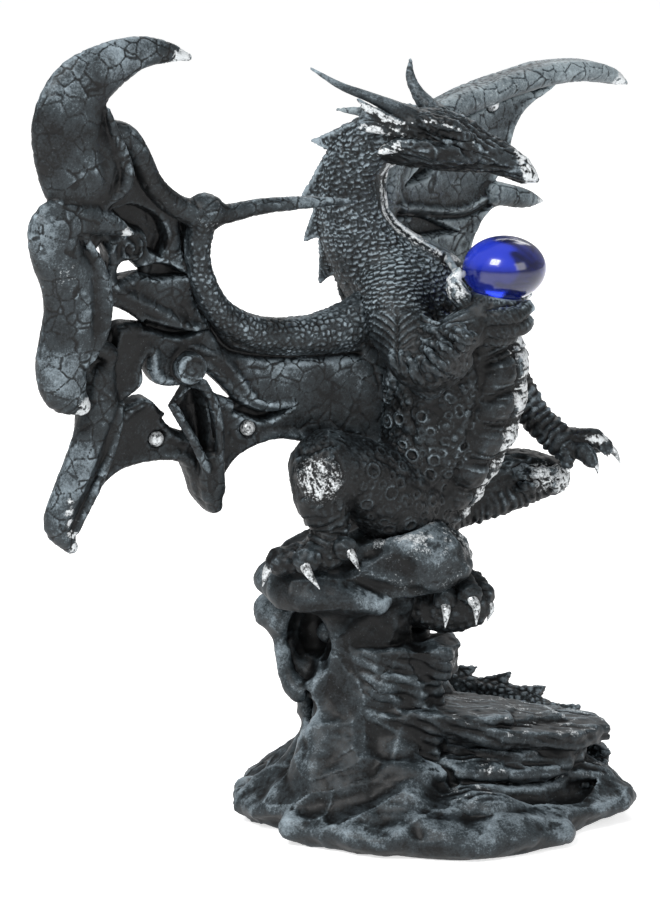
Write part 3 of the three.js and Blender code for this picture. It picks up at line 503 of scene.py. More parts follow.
LEFT_TOES = [
    [[4, -7, 90, 4.6], [9, -14, 90, 4.2], [12, -19.5, 87, 3.6]],
    [[4, -6, 90, 4.6], [13, -7, 88, 4], [17.5, -11, 84.5, 3.4]],
    [[0, -8, 90, 4.6], [2, -15, 88, 4.2], [3, -19.5, 85, 3.6]],
]
TAIL = [
    [-12, 8, 112, 11], [-14, 24, 106, 9.5], [-18, 34, 88, 8.5], [-17, 38, 66, 7.5], [-8, 40, 45, 7],
    [10, 36, 34.5, 6.4], [30, 28, 32, 6], [47, 18, 27, 5.2], [58, 6, 21, 4.8], [61, -8, 14, 4],
    [54, -18, 12, 3], [44, -22, 13, 1.4],
]
BALL = {"centre": (23, -28, 209), "across": 15, "high": 11.6, "room": 0.25}
BALL_FINGERS = [[60, -6], [120, 1]]  # bearing round the ball, height of the tip

HEAD = [
    [-20, -4, 252, 8.5, 8.5], [-12, -5, 254, 9.5, 9.5], [-4, -6, 253.6, 9.8, 10], [4, -7, 252, 9, 9.5],
    [12, -8, 249.6, 7, 8], [19, -9, 247.4, 4.8, 6], [25.5, -9.5, 244.2, 4.2, 4.6], [31, -10, 241.4, 3.2, 3.6],
    [35, -10.5, 238.4, 1, 1.2],
]
JAW = [
    [-15, -5, 248.6, 3.2, 6.8], [-2, -6, 246.6, 3, 6.8], [11, -8, 245.6, 2.2, 5.6], [20, -9.5, 244, 1.6, 3.8],
]
THROAT = [[-12.6, 244.5], [-19, 241.6], [-19.6, 229.2], [-15.7, 222], [-8.4, 216.5], [0.6, 211], [8, 207.8]]
HORNS = [
    [[-4, -10, 258.5, 3.6], [-11, -12, 262, 3.2], [-18, -13, 265.5, 2.4], [-27, -14, 269.3, 1.7],
     [-36, -15, 273, 1.2], [-46, -16, 279, 0.4]],
    [[0, 1, 260, 4], [-4, 3, 264, 3.2], [-7.5, 5, 268.5, 2.2], [-10, 7, 274, 1.5], [-10, 8, 280, 0.4]],
]

THROAT_FOOT = 206  # the throat's line is smooth and silver above this height
STEP = 4  # a laid lock of fur ends where the surface steps by more than this

# A claw is [root, bend, tip, half size at the root]
CLAWS = [
    [[-34.6, -39.5, 109.3], [-31.5, -43.5, 107.5], [-28.6, -46.5, 102.5], 2.3],
    [[-48, -41.5, 105.4], [-47.5, -46.5, 102.5], [-43, -49.5, 96.5], 2.5],
    [[-56.5, -35, 103.2], [-61.5, -36.2, 100.5], [-63.5, -37.5, 94.5], 2.6],
    [[-43.8, -23, 107], [-46, -19.5, 105.5], [-46.5, -17.5, 101], 2.1],
    [[10.8, -20.5, 87], [14.2, -24, 83.5], [14.4, -24.6, 76.5], 2.3],
    [[17, -12, 84], [20.2, -15, 80.5], [18.8, -16, 75.5], 2],
    [[3, -20.6, 84], [3.4, -24.4, 81], [3, -24.8, 75.5], 2.1],
    [[63, 7.8, 136.8], [66.6, 6.8, 134.5], [68.8, 6, 130.5], 1.8],
    [[57.4, 5.8, 131.8], [59.6, 4.9, 130.2], [60.4, 4, 127], 1.7],
    [[49, 6.8, 130.8], [49.4, 5.8, 128.8], [49, 5, 126], 1.7],
    [[60.4, 17.5, 135.2], [63.4, 18, 133.4], [65.2, 18.2, 130.4], 1.7],
]


def body_turn(share):
    """Bearing of the keel: it lies at the front of the belly, and moves to the right side of the throat."""
    return -14 - 22 * ease(share, 0.5, 0.8)


def fur_locks(clay, middle, sizes, fall, count, seed, fine):
    """Wavy locks of fur that hang all round a joint and end in ragged points."""
    x, y, z = middle
    draw = np.random.default_rng(seed)
    for lock in range(count):
        turn = 2 * math.pi * (lock + draw.uniform(-0.3, 0.3)) / count
        out, aside = sizes[0] * math.cos(turn), sizes[1] * math.sin(turn)
        top = draw.uniform(-0.1, 0.35) * fall
        drop = fall * draw.uniform(0.6, 1.1)
        sway = draw.uniform(-1.2, 1.2)
        clay.limb([
            [x + 0.7 * out, y + 0.7 * aside, z + top, 0.8 * fine],
            [x + 0.96 * out + sway, y + 0.96 * aside, z + top - 0.35 * drop, 1.1 * fine],
            [x + 0.88 * out - 0.6 * sway, y + 0.88 * aside, z + top - 0.7 * drop, 0.9 * fine],
            [x + 0.66 * out + 0.5 * sway, y + 0.66 * aside, z + top - drop, 0.3],
        ], soft=0.7, detail=3)


def laid_fur(clay, low, high, source, reach, thick, count, seed):
    """Locks laid over the front of what is there, from the lowest up, each running away from the source."""
    draw = np.random.default_rng(seed)
    for lock in range(count):
        start = np.array([draw.uniform(low[0], high[0]), low[1] + (high[1] - low[1]) * lock / count])
        way = unit(start - np.array(source) + draw.uniform(-2.5, 2.5, 2))
        across = np.array([-way[1], way[0]]) * draw.uniform(-1.1, 1.1)
        length = reach * draw.uniform(0.75, 1.2)
        stations, depth = [], None
        for share, swing, size in ((0, 0, 0.75), (0.33, 1, 1), (0.68, -0.7, 0.8), (1, 0.5, 0.22)):
            x, z = start + way * length * share + across * swing
            found = clay.run(x, z)
            if not found or depth is not None and abs(found[0] - depth) > STEP:
                break
            depth = found[0]
            stations.append([x, depth + (0.8 if share == 0 else 0.15 - 0.35 * size * thick), z, size * thick])
        if len(stations) > 2:
            stations[-1][3] = 0.22
            clay.limb(stations, soft=0.4, detail=3)


def thorns(clay, course, shares, bearing_at, high, long, thin, aim):
    """Flat thorns in a row along a course: each rises slowly the way it aims, then falls steeply."""
    for share in shares:
        k = int(round(share * (len(course.share) - 1)))
        turn = math.radians(bearing_at(share))
        out = math.cos(turn) * course.side[k] + math.sin(turn) * course.face[k]
        girth = 1 / math.hypot(math.cos(turn) / course.wide[k], math.sin(turn) / course.deep[k])
        root = course.middle[k] + out * (girth - 0.6)
        on = aim * course.tangent[k]
        over = np.cross(out, on)

        def distance(x, y, z):
            x, y, z = x - root[0], y - root[1], z - root[2]
            rise, ahead, aside = (x * w[0] + y * w[1] + z * w[2] for w in (out, on, over))
            slope = (rise - high * (ahead / long + 0.5)) * 0.9
            back = ahead - 0.5 * long - 0.3 * rise
            flat = np.abs(aside) - thin * (1.1 - 0.9 * np.clip(rise / high, 0, 1))
            return np.maximum(np.maximum(slope, back), np.maximum(flat, -rise - 1.5))

        clay.put(root - 0.8 * long, root + 0.8 * long, distance, 0.7)


def by_ball(bearing, reach, up):
    """A place beside the ball, out from its upright middle line and up from its centre."""
    x, y, z = BALL["centre"]
    turn = math.radians(bearing)
    return [x + reach * math.cos(turn), y + reach * math.sin(turn), z + up]


def dragon_clay():
    clay = Clay((-72, -56, 67), (72, 42, 264), 0.56)
    clay.limb(SPINE, soft=1)
    clay.limb(RIGHT_UPPER_ARM, soft=6)
    clay.limb(LEFT_ARM, soft=4)
    clay.limb(RIGHT_THIGH, soft=5)
    clay.limb(LEFT_THIGH, soft=5)
    clay.limb([[-12, 8, 112, 11], [-14, 24, 106, 9.5], [-17, 31, 96, 8]], soft=4)
    clay.limb(RIGHT_FOREARM, soft=2.5)
    clay.ball((19, -29, 195.5), (11, 10.5, 7.5), soft=3)
    clay.limb([[14, -38, 192, 2.6], [21, -40.5, 193.5, 3], [27, -38.5, 194, 2.8], [31, -34, 196, 2.2]],
              soft=0.8)
    clay.limb([[15, -37, 188, 2.6], [22, -38.5, 188.6, 3], [28, -35.5, 189.4, 3], [30.5, -31, 190, 2.4]],
              soft=0.8)
    clay.limb([[14, -35, 184.6, 2.4], [20, -35.5, 184.8, 2.8], [25, -32, 185.4, 2.4]], soft=0.8)
    for bearing, high in BALL_FINGERS:
        rows = ((8, -13, 3.6), (13, -11, 3), (15.8, high - 4, 2.8), (15.6, high + 1, 1.3))
        clay.limb([[*by_ball(bearing, reach, up), size] for reach, up, size in rows], soft=1.2)
    clay.limb([[10, -33, 195, 3], [6.8, -35.5, 200.5, 3.5], [5, -37, 205.5, 2.7], [6.6, -36.6, 210, 0.8]],
              soft=1)
    across, high = BALL["across"] + BALL["room"], BALL["high"] + BALL["room"]
    clay.ball(BALL["centre"], (across, across, high), soft=0.4, cut=True)
    clay.limb(RIGHT_SHIN, soft=3)
    clay.limb(LEFT_SHIN, soft=2.5)
    for toe in (*RIGHT_TOES, *LEFT_TOES):
        clay.limb(toe, soft=1.2)
        clay.ball(toe[-1][:3], [1.05 * toe[-1][3]] * 3, soft=0.8)
    for finger in LEFT_FINGERS:
        clay.limb(finger, soft=1)
        clay.ball(finger[1][:3], [2.9] * 3, soft=0.8)
    clay.limb([[-12, -29, 186, 9, 7], [-5, -34, 179, 11, 6.5], [4, -34, 178, 8, 6], [-6, -27, 168, 8, 5]],
              soft=3)
    clay.limb([[-7, -10, 81, 8], [3, -13, 79.5, 8.2], [11, -14, 80.5, 7.4], [15, -13.5, 81, 4.5]], soft=2)
    clay.ball((-2, -43, 174), (3.4, 3, 1.8), soft=1, cut=True)
    laid_fur(clay, (-20, 166), (8, 182), (-18, 204), 10, 1.15, 130, 3)
    laid_fur(clay, (-8, 176), (5, 193), (-34, 201), 10, 1.1, 110, 4)
    laid_fur(clay, (-51, 128), (-33, 147), (-22, 152), 9, 0.8, 80, 8)
    clay.ball((-43.5, -39, 136), (7, 5, 7), soft=3)
    laid_fur(clay, (26, 118), (46, 127), (0, 120), 8, 0.9, 60, 10)
    fur_locks(clay, (27, 20, 166), (6.5, 6), 9, 16, 7, 1.1)
    ridge = []
    for x, z in curve(THROAT, 3):
        found = clay.run(x - 1, z - 1.5) or (-2, 2)
        depth = min(0.5 * (found[0] + found[1]), found[0] + 4)
        ridge.append([x, depth, z, 1.5 - 0.3 * (len(ridge) % 2), 1.2])
    clay.limb(ridge, soft=1, detail=2)
    back = Course(SPINE, detail=8)
    thorns(clay, back, (0.885, 0.815, 0.735, 0.66, 0.585), lambda share: 178, 6.4, 12, 2.8, -1)
    thorns(clay, back, [0.51 - 0.07 * k for k in range(7)], lambda share: 150, 6, 12, 2.8, -1)
    return clay


def belly(points, along, share, bearing):
    """Heights of the belly plates and the keel that runs up them to the throat.

    Also where the plates, the keel, its worn paint and the dark seams between plates are.
    """
    from_keel = apart(bearing - body_turn(share))
    place = (share - PLATES["from"]) / (PLATES["to"] - PLATES["from"]) * PLATES["count"]
    place = place + 0.22 * np.sin(np.radians(from_keel * 2)) + 0.1 * noise(points, 7, 32)
    within = place % 1
    on_plates = ease(place, -0.1, 0.05) * (1 - ease(place, PLATES["count"] - 0.05, PLATES["count"] + 0.1))
    edge = PLATES["edge"] + 3 * noise(points, 6, 33)
    on_plates = on_plates * (1 - ease(from_keel, edge - 4, edge))
    round_end = ease(edge - from_keel, 0, 16)
    block = (1 - np.abs(2 * within - 1) ** 2.4) * (0.4 + 0.6 * round_end) - 0.2 * within
    block = block - 0.9 * hump(from_keel, 15, 2.2)
    plates = PLATES["high"] * block + 0.4 * rough(points, 3, 3, 31)
    groove = -1.4 * hump(from_keel, edge + 2.5, 4) * ease(place, -0.3, 0.2) * (1 - ease(place, 8, 8.4))
    on_keel = (1 - ease(share, KEEL["to"] - 0.04, KEEL["to"])) * ease(share, 0.04, 0.1)
    shard = (along / 4.6 + 0.5 * noise(points, 5, 34)) % 1
    throat = ease(share, 0.47, 0.56)
    narrow = 8 - 4.6 * throat + 1.2 * noise(points, 3, 35)
    jag = (1 - 0.9 * throat) * (1 - 0.3 * shard - 0.25 * np.abs(noise(points, 3, 36)))
    keel = KEEL["high"] * (1 - ease(from_keel, 0.5 * narrow, 1.5 * narrow)) * jag
    height = np.where(on_keel * keel > plates * on_plates, on_keel * keel, plates * on_plates) + groove
    seam = on_plates * (1 - ease(block, 0.1, 0.75)) * ease(from_keel, 8, 14)
    reach = 13 + 9 * rough(points, 7, 3, 37)
    worn = on_keel * (1 - throat) * (1 - ease(from_keel, reach, reach + 3)) * ease(within, 0.02, 0.16)
    return height, on_plates, on_keel * (from_keel < 1.3 * narrow), worn, seam


def rings(points, size, seed):
    """Raised rings with sunk middles, and small pebbles between them."""
    first, _, mark, _ = cells(points, size, seed, 0.75)
    radius = size * (0.24 + 0.12 * mark)
    ring = 1.3 * hump(first, radius, 0.55) + 0.5 * hump(first, 1.55 * radius, 0.45)
    pit = 1 - ease(first, 0.4 * radius, 0.85 * radius)
    near, far, _, _ = cells(points, 0.32 * size, seed + 11)
    pebble = ease(far - near, 0, 0.7)
    return 1.1 * ring - 1.2 * pit + 0.4 * pebble * ease(first, radius, 1.6 * radius)


def wrinkles(points, along, pitch, seed):
    """Rounded folds across a limb, a pitch apart along it."""
    return 0.75 * np.abs(np.sin(np.pi * along / pitch + 1.3 * noise(points, 5, seed)))


def carve_dragon(points, normals):
    """Scales, plates, fur and wrinkles, each laid where its limb is the nearest one."""
    limbs = {
        "body": SPINE, "upper": RIGHT_UPPER_ARM, "fore": RIGHT_FOREARM, "left_arm": LEFT_ARM,
        "thigh": RIGHT_THIGH, "shin": RIGHT_SHIN, "left_thigh": LEFT_THIGH, "left_shin": LEFT_SHIN,
    }
    places = {name: Course(stations, detail=6).place(points) for name, stations in limbs.items()}
    girths = np.stack([places[name][3] for name in limbs])
    weight = np.exp(-14 * (girths - girths.min(0)))
    weight = dict(zip(limbs, weight / weight.sum(0)))
    x, y, z = points.T

    along, share, bearing, _ = places["body"]
    wavy = points + 1.6 * noise(points, 9, 7)[:, None]
    scales = 0.6 * flakes(wavy, (0.35, 0, -1), 2.7, 3) + 0.3 * rough(points, 5, 2, 8)
    scales = scales + 0.35 * strands(points, (0.5, 0, -1), 1, 3, 10)
    ringed = np.maximum(rings(points, 7.4, 21), 0.7 * rings(points, 4.6, 24)) + 0.2 * rough(points, 3, 2, 26)
    low = 1 - ease(z, 158, 176)
    plates, on_plates, on_keel, worn_keel, seam = belly(points, along, share, bearing)
    plain = (1 - on_plates) * (1 - on_keel)
    throat = ease(share, 0.5, 0.6) * (1 - ease(apart(bearing - body_turn(share), 40), 20, 40))
    body = plain * ((low * ringed + (1 - low) * scales) * (1 - 0.6 * throat)) + plates

    middle = x + 15.2
    sweep = -z + 1.15 * np.abs(middle) - 0.055 * middle**2
    chevron = 0.95 * ((sweep / 2.7) % 1) ** 1.5 - 0.9 * hump(middle, 0, 0.6)
    on_chevron = ease(z, 172, 177) * (1 - ease(z, 191, 195))
    on_chevron = on_chevron * (1 - ease(np.abs(middle), 7, 10)) * (normals[:, 1] < -0.1)
    fur_down = 1.1 * strands(points, (0.1, 0, -1), 1.9, 6, 5)
    fur_out = strands(points, (1, -0.1, 0.35), 1.7, 7, 6)
    upper = on_chevron * chevron + (1 - on_chevron) * (0.8 * flakes(points, (0.2, -0.2, -1), 2.6, 4))
    upper = upper * ease(z, 174, 180) + fur_down * (1 - ease(z, 174, 180))
    fore = fur_out * (1 - ease(x, 8, 16)) + 0.7 * strands(points, (0.4, 0, 1), 2.1, 3, 9) * ease(x, 8, 16)
    knobs = 0.7 * (1 - ease(cells(points, 3.4, 17)[0], 0.3, 1.9))
    down_arm, down_shin = places["left_arm"][0], places["shin"][0]
    thigh = 0.8 * ringed * (1 - ease(-x, 28, 34)) + 0.2 * noise(points, 6, 18)
    furred = ease(z, 118, 124)
    heights = {
        "body": body,
        "upper": upper,
        "fore": fore,
        "left_arm": wrinkles(points, down_arm, 3.3, 12) * ease(down_arm, 18, 26) + knobs,
        "thigh": thigh + fur_down * ease(-x, 30, 36),
        "shin": fur_down * furred + (wrinkles(points, down_shin, 3, 13) + knobs) * (1 - furred),
        "left_thigh": 0.8 * ringed * (1 - ease(x, 10, 22)) + (fur_out + 0.3 * knobs) * ease(x, 10, 22),
        "left_shin": wrinkles(points, places["left_shin"][0], 3, 14) + knobs,
    }
    height = sum(weight[name] * heights[name] for name in limbs)
    beyond = ease(girths.min(0), 1.08, 1.2)
    hair = ease(z, 112, 118) * (0.6 * strands(points, (0.5, 0.1, -0.85), 0.9, 5, 16) - 0.3)
    joints = (1 - ease(z, 112, 118)) * (0.8 * knobs + 0.6 * strands(points, (1, 0.2, -0.5), 1.8, 3, 19))
    height = height * (1 - 0.75 * beyond) + beyond * (hair + joints)
    x0, y0, z0 = BALL["centre"]
    across, high = BALL["across"], BALL["high"]
    seat = np.sqrt(((x - x0) / across) ** 2 + ((y - y0) / across) ** 2 + ((z - z0) / high) ** 2)
    height = height * ease(seat, 1.04, 1.16)
    from_throat = from_line(x, z, THROAT)
    height = height * (1 - 0.8 * (z > THROAT_FOOT) * (1 - ease(from_throat, 1.6, 3)))

    worn = rough(points, 2.2, 3, 41)
    silver = worn_keel * ease(worn, -0.7, -0.1) * weight["body"]
    wide = 1.5 - 0.6 * ease(x, -10, 4) + 0.5 * worn
    on_line = 1.1 * (1 - ease(from_throat, 0.6 * wide, 1.4 * wide)) * (z > THROAT_FOOT)
    silver = np.maximum(silver, on_line * ease(worn, -1, -0.4))
    knee = spots(points, [[-43, -43, 135, 11], [49, 15, 122, 9], [40, 13, 124, 8]])
    streaks = ease(strands(points, (0.8, 0, -0.5), 1.5, 7, 15) + 0.3 * worn, 0.1, 0.6)
    knee = np.maximum(knee * streaks, 0.7 * spots(points, [[-43, -43, 135, 7]]) * ease(worn, -0.6, 0.2))
    tips = spots(points, [[5, -38, 205, 9], [2, -38, 209, 6], [15, -14, 208, 6]])
    silver = np.clip(0.9 * silver + 0.8 * knee + 0.8 * tips * ease(worn, -0.5, 0.1), 0, 1)
    paint_and_painted_light = 0.02 + 0.64 * ease(z, 172, 212) + 0.16 * noise(points, 18, 44) + 0.24 * on_plates
    paint_and_painted_light = paint_and_painted_light + 0.24 * low * plain * np.clip(ringed, -0.8, 1.2) * weight["body"]
    # Darker on the hand under the ball and on the perch under the left foot: painted shade
    paint_and_painted_light = paint_and_painted_light - 0.4 * spots(points, [[20, -36, 190, 16], [2, -12, 79, 18]]) - 0.45 * seam
    return height, silver, np.clip(paint_and_painted_light, 0, 1)


# Head
# Limbs at each side of the head: stations [x, out from the middle, z, radius], and how soft the join is
HEAD_SIDES = [
    ([[-12, 7, 259, 2.6], [-3, 9, 259.5, 2.8], [6, 8.5, 256.5, 2.4], [12, 6, 251.5, 1.4]], 1.2),
    ([[-14, 9, 251.5, 2.2], [-4, 10, 250, 2.4], [8, 8, 248, 2], [18, 4.4, 246, 1.2]], 1.2),
    ([[2, 8.2, 255.2, 0.9], [10, 7.4, 251.5, 1.4], [20, 4.6, 248, 1]], 0.8),
]
MOUTH = [[-6, 9.8, 248.4, 0.6], [8, 8.4, 246.6, 0.6], [20, 5.2, 243.8, 0.6], [30, 3, 240, 0.4]]
BROW = [[-12, 259], [-3, 259.8], [6, 257], [12, 252]]


def beside_head(side, x, out, z, radius=0):
    return [x, -6 - 0.1 * (x + 12) + side * out, z, radius]


def beside_frill(side, rows):
    """Stations of a rib at one side of the head. The far side's are shorter."""
    scale = 1 if side < 0 else 0.55
    stations = []
    for x, z, radius in rows:
        x = -8 + scale * (x + 8)
        stations.append([x, -5 + side * (9.5 - 0.12 * (x + 10)), 257 + scale * (z - 257), radius])
    return stations


def head_clay():
    clay = Clay((-48, -26, 233), (40, 14, 284), 0.4)
    clay.limb(HEAD, soft=1)
    clay.limb(JAW, soft=2)
    clay.limb([[4, -7, 259, 2.6], [12, -8, 255, 2.4], [20, -9, 249, 2], [28, -10, 243.5, 1.6]], soft=2)
    for side in (-1, 1):
        for rows, soft in HEAD_SIDES:
            clay.limb([beside_head(side, *row) for row in rows], soft=soft)
        clay.ball(beside_head(side, 3.2, 9.4, 252.6)[:3], (3.4, 2.2, 1.8), soft=0.8, cut=True)
        clay.ball(beside_head(side, 3.2, 8.2, 252.6)[:3], (2.1, 1.7, 1.5), soft=0.3)
        clay.ball((28.6, -10 + side * 2.9, 243.6), (1.5, 1.1, 1), soft=0.5, cut=True)
        clay.limb([beside_head(side, *row) for row in MOUTH], soft=0.6, cut=True)
        for rows in FRILL_RIBS:
            clay.limb(beside_frill(side, rows), soft=0.9)
        for rows in FRILL_WEB:
            clay.limb(beside_frill(side, rows), soft=1.2, detail=2)
    for rows in HORNS:
        clay.limb(rows, soft=1.5, detail=6)
    return clay


FRILL_RIBS = [
    [[-7, 257, 1.7], [-19.9, 261.8, 1.4], [-29.2, 268, 0.5]],
    [[-8, 254.6, 1.5], [-19.9, 257.2, 1.5], [-29.3, 257.6, 0.5]],
    [[-7, 252.4, 1.7], [-15, 251.4, 2.1], [-21.6, 248.8, 0.8]],
]
FRILL_WEB = [
    [[-9, 256.4, 1.2], [-18, 260.4, 1], [-27.5, 265.2, 0.6]],
    [[-9, 255.8, 1.2], [-18, 259.4, 1], [-26, 262, 0.6]],
    [[-9, 255.4, 1.2], [-18, 258.4, 1], [-27.5, 259.4, 0.6]],
]


def carve_head(points, normals):
    """Stringy ridges that run to the snout, and silver on the brows, the frill and the beak."""
    x, y, z = points.T
    snout = (1, -0.1, -0.3)
    ridges = strands(points, snout, 1.5, 7, 51)
    fine = strands(points, snout, 0.8, 6, 52)
    horn = ease(-x, 6, 9) * ease(z - 256 + 0.5 * (x + 6), -0.4, 0.8) + (ease(z, 262, 265) * (x > -13))
    frill = ease(-x, 12, 18) * (1 - np.clip(horn, 0, 1))
    knobs = 0.55 * (1 - ease(cells(points, 2.2, 53)[0], 0.2, 1.2))
    cords = strands(points, (1, -0.1, -0.12), 1.6, 5, 57) * (z < 253)
    skin = 1.35 * (ridges - 0.5) + 0.4 * fine + knobs * (0.4 + 0.6 * (z > 252)) + 0.8 * cords
    pleats = 0.5 * strands(points, (1, 0, -0.35), 1.1, 8, 54)
    height = skin * (1 - np.clip(horn + frill, 0, 1)) + pleats * np.clip(frill + 0.4 * horn, 0, 1) * 0.8
    height = height * (1 - 0.7 * ease(x, 30, 34))
    worn = rough(points, 1.6, 3, 55)
    brow = 1 - ease(from_line(x, z, BROW), 0.7, 1.8)
    brow = brow * (np.abs(y + 6) > 6) * (normals[:, 2] > 0.1)
    edge = np.zeros(len(points))
    for rows in FRILL_RIBS:
        far = from_line(x, z, [row[:2] for row in rows])
        edge = np.maximum(edge, (1 - ease(far, 1.3, 2.4)) * ease(-x, 9, 15))
    beak = ease(x + 0.5 * (z - 240), 29, 32)
    edge = 0.85 * edge * (1 - np.clip(horn, 0, 1)) * ease(worn + 2.8 * pleats, 0.35, 1.5)
    silver = 0.8 * brow * ease(worn, 0, 0.5) + edge
    silver = np.clip(silver + beak * ease(worn, -0.9, -0.2), 0, 1)
    paint_and_painted_light = 0.26 + 0.15 * noise(points, 9, 56) + 0.25 * np.clip(horn, 0, 1)
    return height, silver, np.clip(paint_and_painted_light, 0, 1)


# Tail
def tail_clay():
    clay = Clay((-34, -32, 2), (72, 54, 112), 0.7)
    clay.limb(TAIL[2:], soft=1, detail=6)
    crest = Course(TAIL, detail=8)

    def upward(share):
        k = int(round(share * (len(crest.share) - 1)))
        lean = np.array([0.2, 0.35, 1.0])
        return math.degrees(math.atan2(lean @ crest.face[k], lean @ crest.side[k]))

    thorns(clay, crest, [0.2 + 0.062 * k for k in range(13)], upward, 4.6, 10, 2.8, 1)
    return clay


def carve_tail(points, normals):
    """Pebbly skin with a little worn silver."""
    near, far, mark, _ = cells(points, 2.6, 61)
    bumps = 0.55 * ease(far - near, 0, 1.2) + 0.15 * mark
    silver = 0.35 * ease(rough(points, 3, 3, 62), 0.45, 0.9)
    return bumps, silver, np.full(len(points), 0.25)


# Rock
RIM = [
    [0, 72], [25, 69], [50, 62], [90, 56], [130, 62], [165, 72], [188, 76], [222, 63], [250, 63],
    [277, 69], [298, 69], [329, 63], [348, 69], [360, 72],
]
COLUMN = [
    [5, -4, 1, 64, 55], [15, -3, 1, 57, 51], [21, -9, 4, 42, 42], [30, -15, 6, 31, 34],
    [42, -21, 6, 27, 29], [55, -27, 6, 26, 28], [66, -29, 6, 28, 26], [76, -29, 5, 30, 28],
    [83, -26, 2, 34, 31], [91, -23, 0, 37, 33], [99, -22, 0, 33, 30], [106, -19, 2, 24, 24],
    [112, -16, 4, 13, 15],
]
# Slabs are (corners from above, height of the middle where x and y are 0, its rise with x and y, thickness)
SLABS = [
    ([[-16, -30], [4, -37], [20, -36], [27, -33], [28, -8], [8, 4], [-16, 4]], 38.5, (-0.03, -0.08), 7),
    ([[4, -35], [24, -38], [42, -33], [51, -29], [58, -21], [65, -9], [61, 4], [46, 8], [10, 8]], 39,
     (-0.13, -0.02), 6),
    ([[-6, -27], [16, -33], [33, -27], [37, -21], [49, -13], [40, -2], [8, 2]], 42.6, (-0.12, -0.02), 3.2),
    ([[4, -31], [25, -35], [33, -30], [47, -30], [57, -17], [59, 2], [8, 10]], 35.5, (-0.09, 0.0), 3.6),
    ([[4, -27], [22, -33], [31, -33], [38, -29], [50, -27], [56, -14], [55, 6], [4, 12]], 28.0,
     (-0.05, 0.0), 7),
    ([[8, -29], [27, -34], [45, -31], [49, -24], [53, -12], [50, 4], [8, 4]], 22.4, (-0.01, 0.0), 3),
    ([[-37, -20], [-22, -27], [-6, -26], [5, -25], [9, -15], [5, -2], [-37, 0]], 61.5, (0.02, 0.0), 11),
    ([[-36, -22], [-20, -29], [-5, -27], [2, -20], [0, 0], [-36, 4]], 50.5, (0.0, 0.0), 15),
    ([[-38, -22], [-18, -34], [0, -33], [6, -20], [-8, 4], [-38, 8]], 36.0, (-0.06, 0.06), 18),
]
LEDGES = [
    [[-14, -12, 23, 28, 6], [18, -15, 23, 24, 6], [36, -12, 21, 20, 5.5]],
    [[6, -42, 14, 10, 4.5], [18, -46, 15.5, 9, 4.5], [30, -44, 11, 6, 3.5]],
    [[8, -50, 6, 12, 5], [26, -52, 7, 12, 5], [44, -46, 5, 8, 4]],
    [[36, -26, 8, 20, 6], [55, -16, 8, 19, 6], [66, -5, 7, 12, 4.5]],
    [[-34, -32, 9, 16, 6], [-52, -24, 9, 17, 6], [-65, -14, 7, 14, 5]],
    [[-8, 38, 9, 22, 6], [22, 40, 9, 20, 6], [44, 30, 9, 15, 5]],
]
BOULDERS = [
    [[-44, -12, 90, 15, 8], [-26, -14, 95, 18, 11], [-8, -12, 97, 18, 12], [2, -8, 94, 15, 9],
     [8, -6, 88, 9, 6]],
    [[-59, -18, 92, 9, 7], [-48, -25, 91, 13, 8], [-33, -28, 89, 11, 7], [-22, -28, 86, 8, 4]],
    [[-61, -8, 77, 6, 5], [-53, -10, 76, 9, 8], [-44, -12, 76, 8, 7]],
]
# Chunks are (centre, half sizes, seed of its facets)
CHUNKS = [
    ((-10, -13, 99), (25, 19, 14), 3),
    ((-42, -19, 91), (21, 15, 9), 5),
    ((3, -12, 95), (13, 15, 9), 8),
    ((-16, -6, 80), (17, 17, 9), 11),
    ((-22, 22, 92), (24, 16, 12), 12),
    ((-30, 24, 60), (22, 16, 14), 13),
    ((54, -14, 12), (17, 18, 9), 14),
    ((40, 30, 14), (22, 18, 10), 15),
    ((-48, -18, 11), (18, 18, 7), 16),
    ((-10, -44, 10), (24, 14, 7), 17),
]
ROOTS = [
    [[-48, -4, 62, 8], [-45, -6, 44, 5.5], [-44, -10, 31, 6.5], [-56, -18, 10, 8]],
    [[-38, -14, 50, 8], [-41, -24, 32, 8], [-47, -34, 11, 9]],
    [[-26, -10, 92, 11, 10], [-25, -10, 78, 12, 11], [-25, -11, 64, 13, 12], [-27, -14, 48, 15, 13],
     [-28, -21, 34, 17, 12], [-30, -32, 20, 20, 12], [-28, -42, 9, 22, 10]],
    [[-14, -22, 40, 9], [-12, -34, 24, 9], [-10, -46, 9, 11]],
    [[-20, 30, 48, 8], [-28, 38, 28, 9], [-36, 44, 12, 10]],
]


def slab(clay, corners, level, rise, thick):
    """A flat shard of rock with straight-cut sides."""
    corners = np.array(corners, float)
    middle = level + corners @ np.array(rise)

    def distance(x, y, z):
        ragged = 0.8 * np.sin(0.5 * x + 0.9 * z) * np.sin(0.45 * y - 0.6 * z)
        side = ragged - inside_by(corners, x[:, :, 0], y[:, :, 0])[:, :, None]
        over = np.abs(z - level - rise[0] * x - rise[1] * y) - thick / 2
        return -soft_join(-side, -over, 1.4)

    low, high = corners.min(0), corners.max(0)
    clay.put([*low, middle.min() - thick], [*high, middle.max() + thick], distance, 1.6)


def chunk(clay, centre, radii, seed):
    """A boulder with flat facets whose edges are worn soft."""
    draw = np.random.default_rng(seed)
    ways = unit(draw.normal(size=(15, 3)))
    reach = np.linalg.norm(ways * np.array(radii), axis=1) * draw.uniform(0.78, 0.98, 15)

    def distance(x, y, z):
        x, y, z = x - centre[0], y - centre[1], z - centre[2]
        most = np.full(np.broadcast(x, y, z).shape, -FAR, np.float32)
        for (a, b, c), far in zip(ways, reach):
            most = -soft_join(-most, -(a * x + b * y + c * z - far), 2.0)
        whole = np.sqrt((x / radii[0]) ** 2 + (y / radii[1]) ** 2 + (z / radii[2]) ** 2)
        return np.maximum(most, (whole - 1.04) * min(radii))

    clay.put(np.array(centre) - 1.3 * np.array(radii), np.array(centre) + 1.3 * np.array(radii), distance, 3)


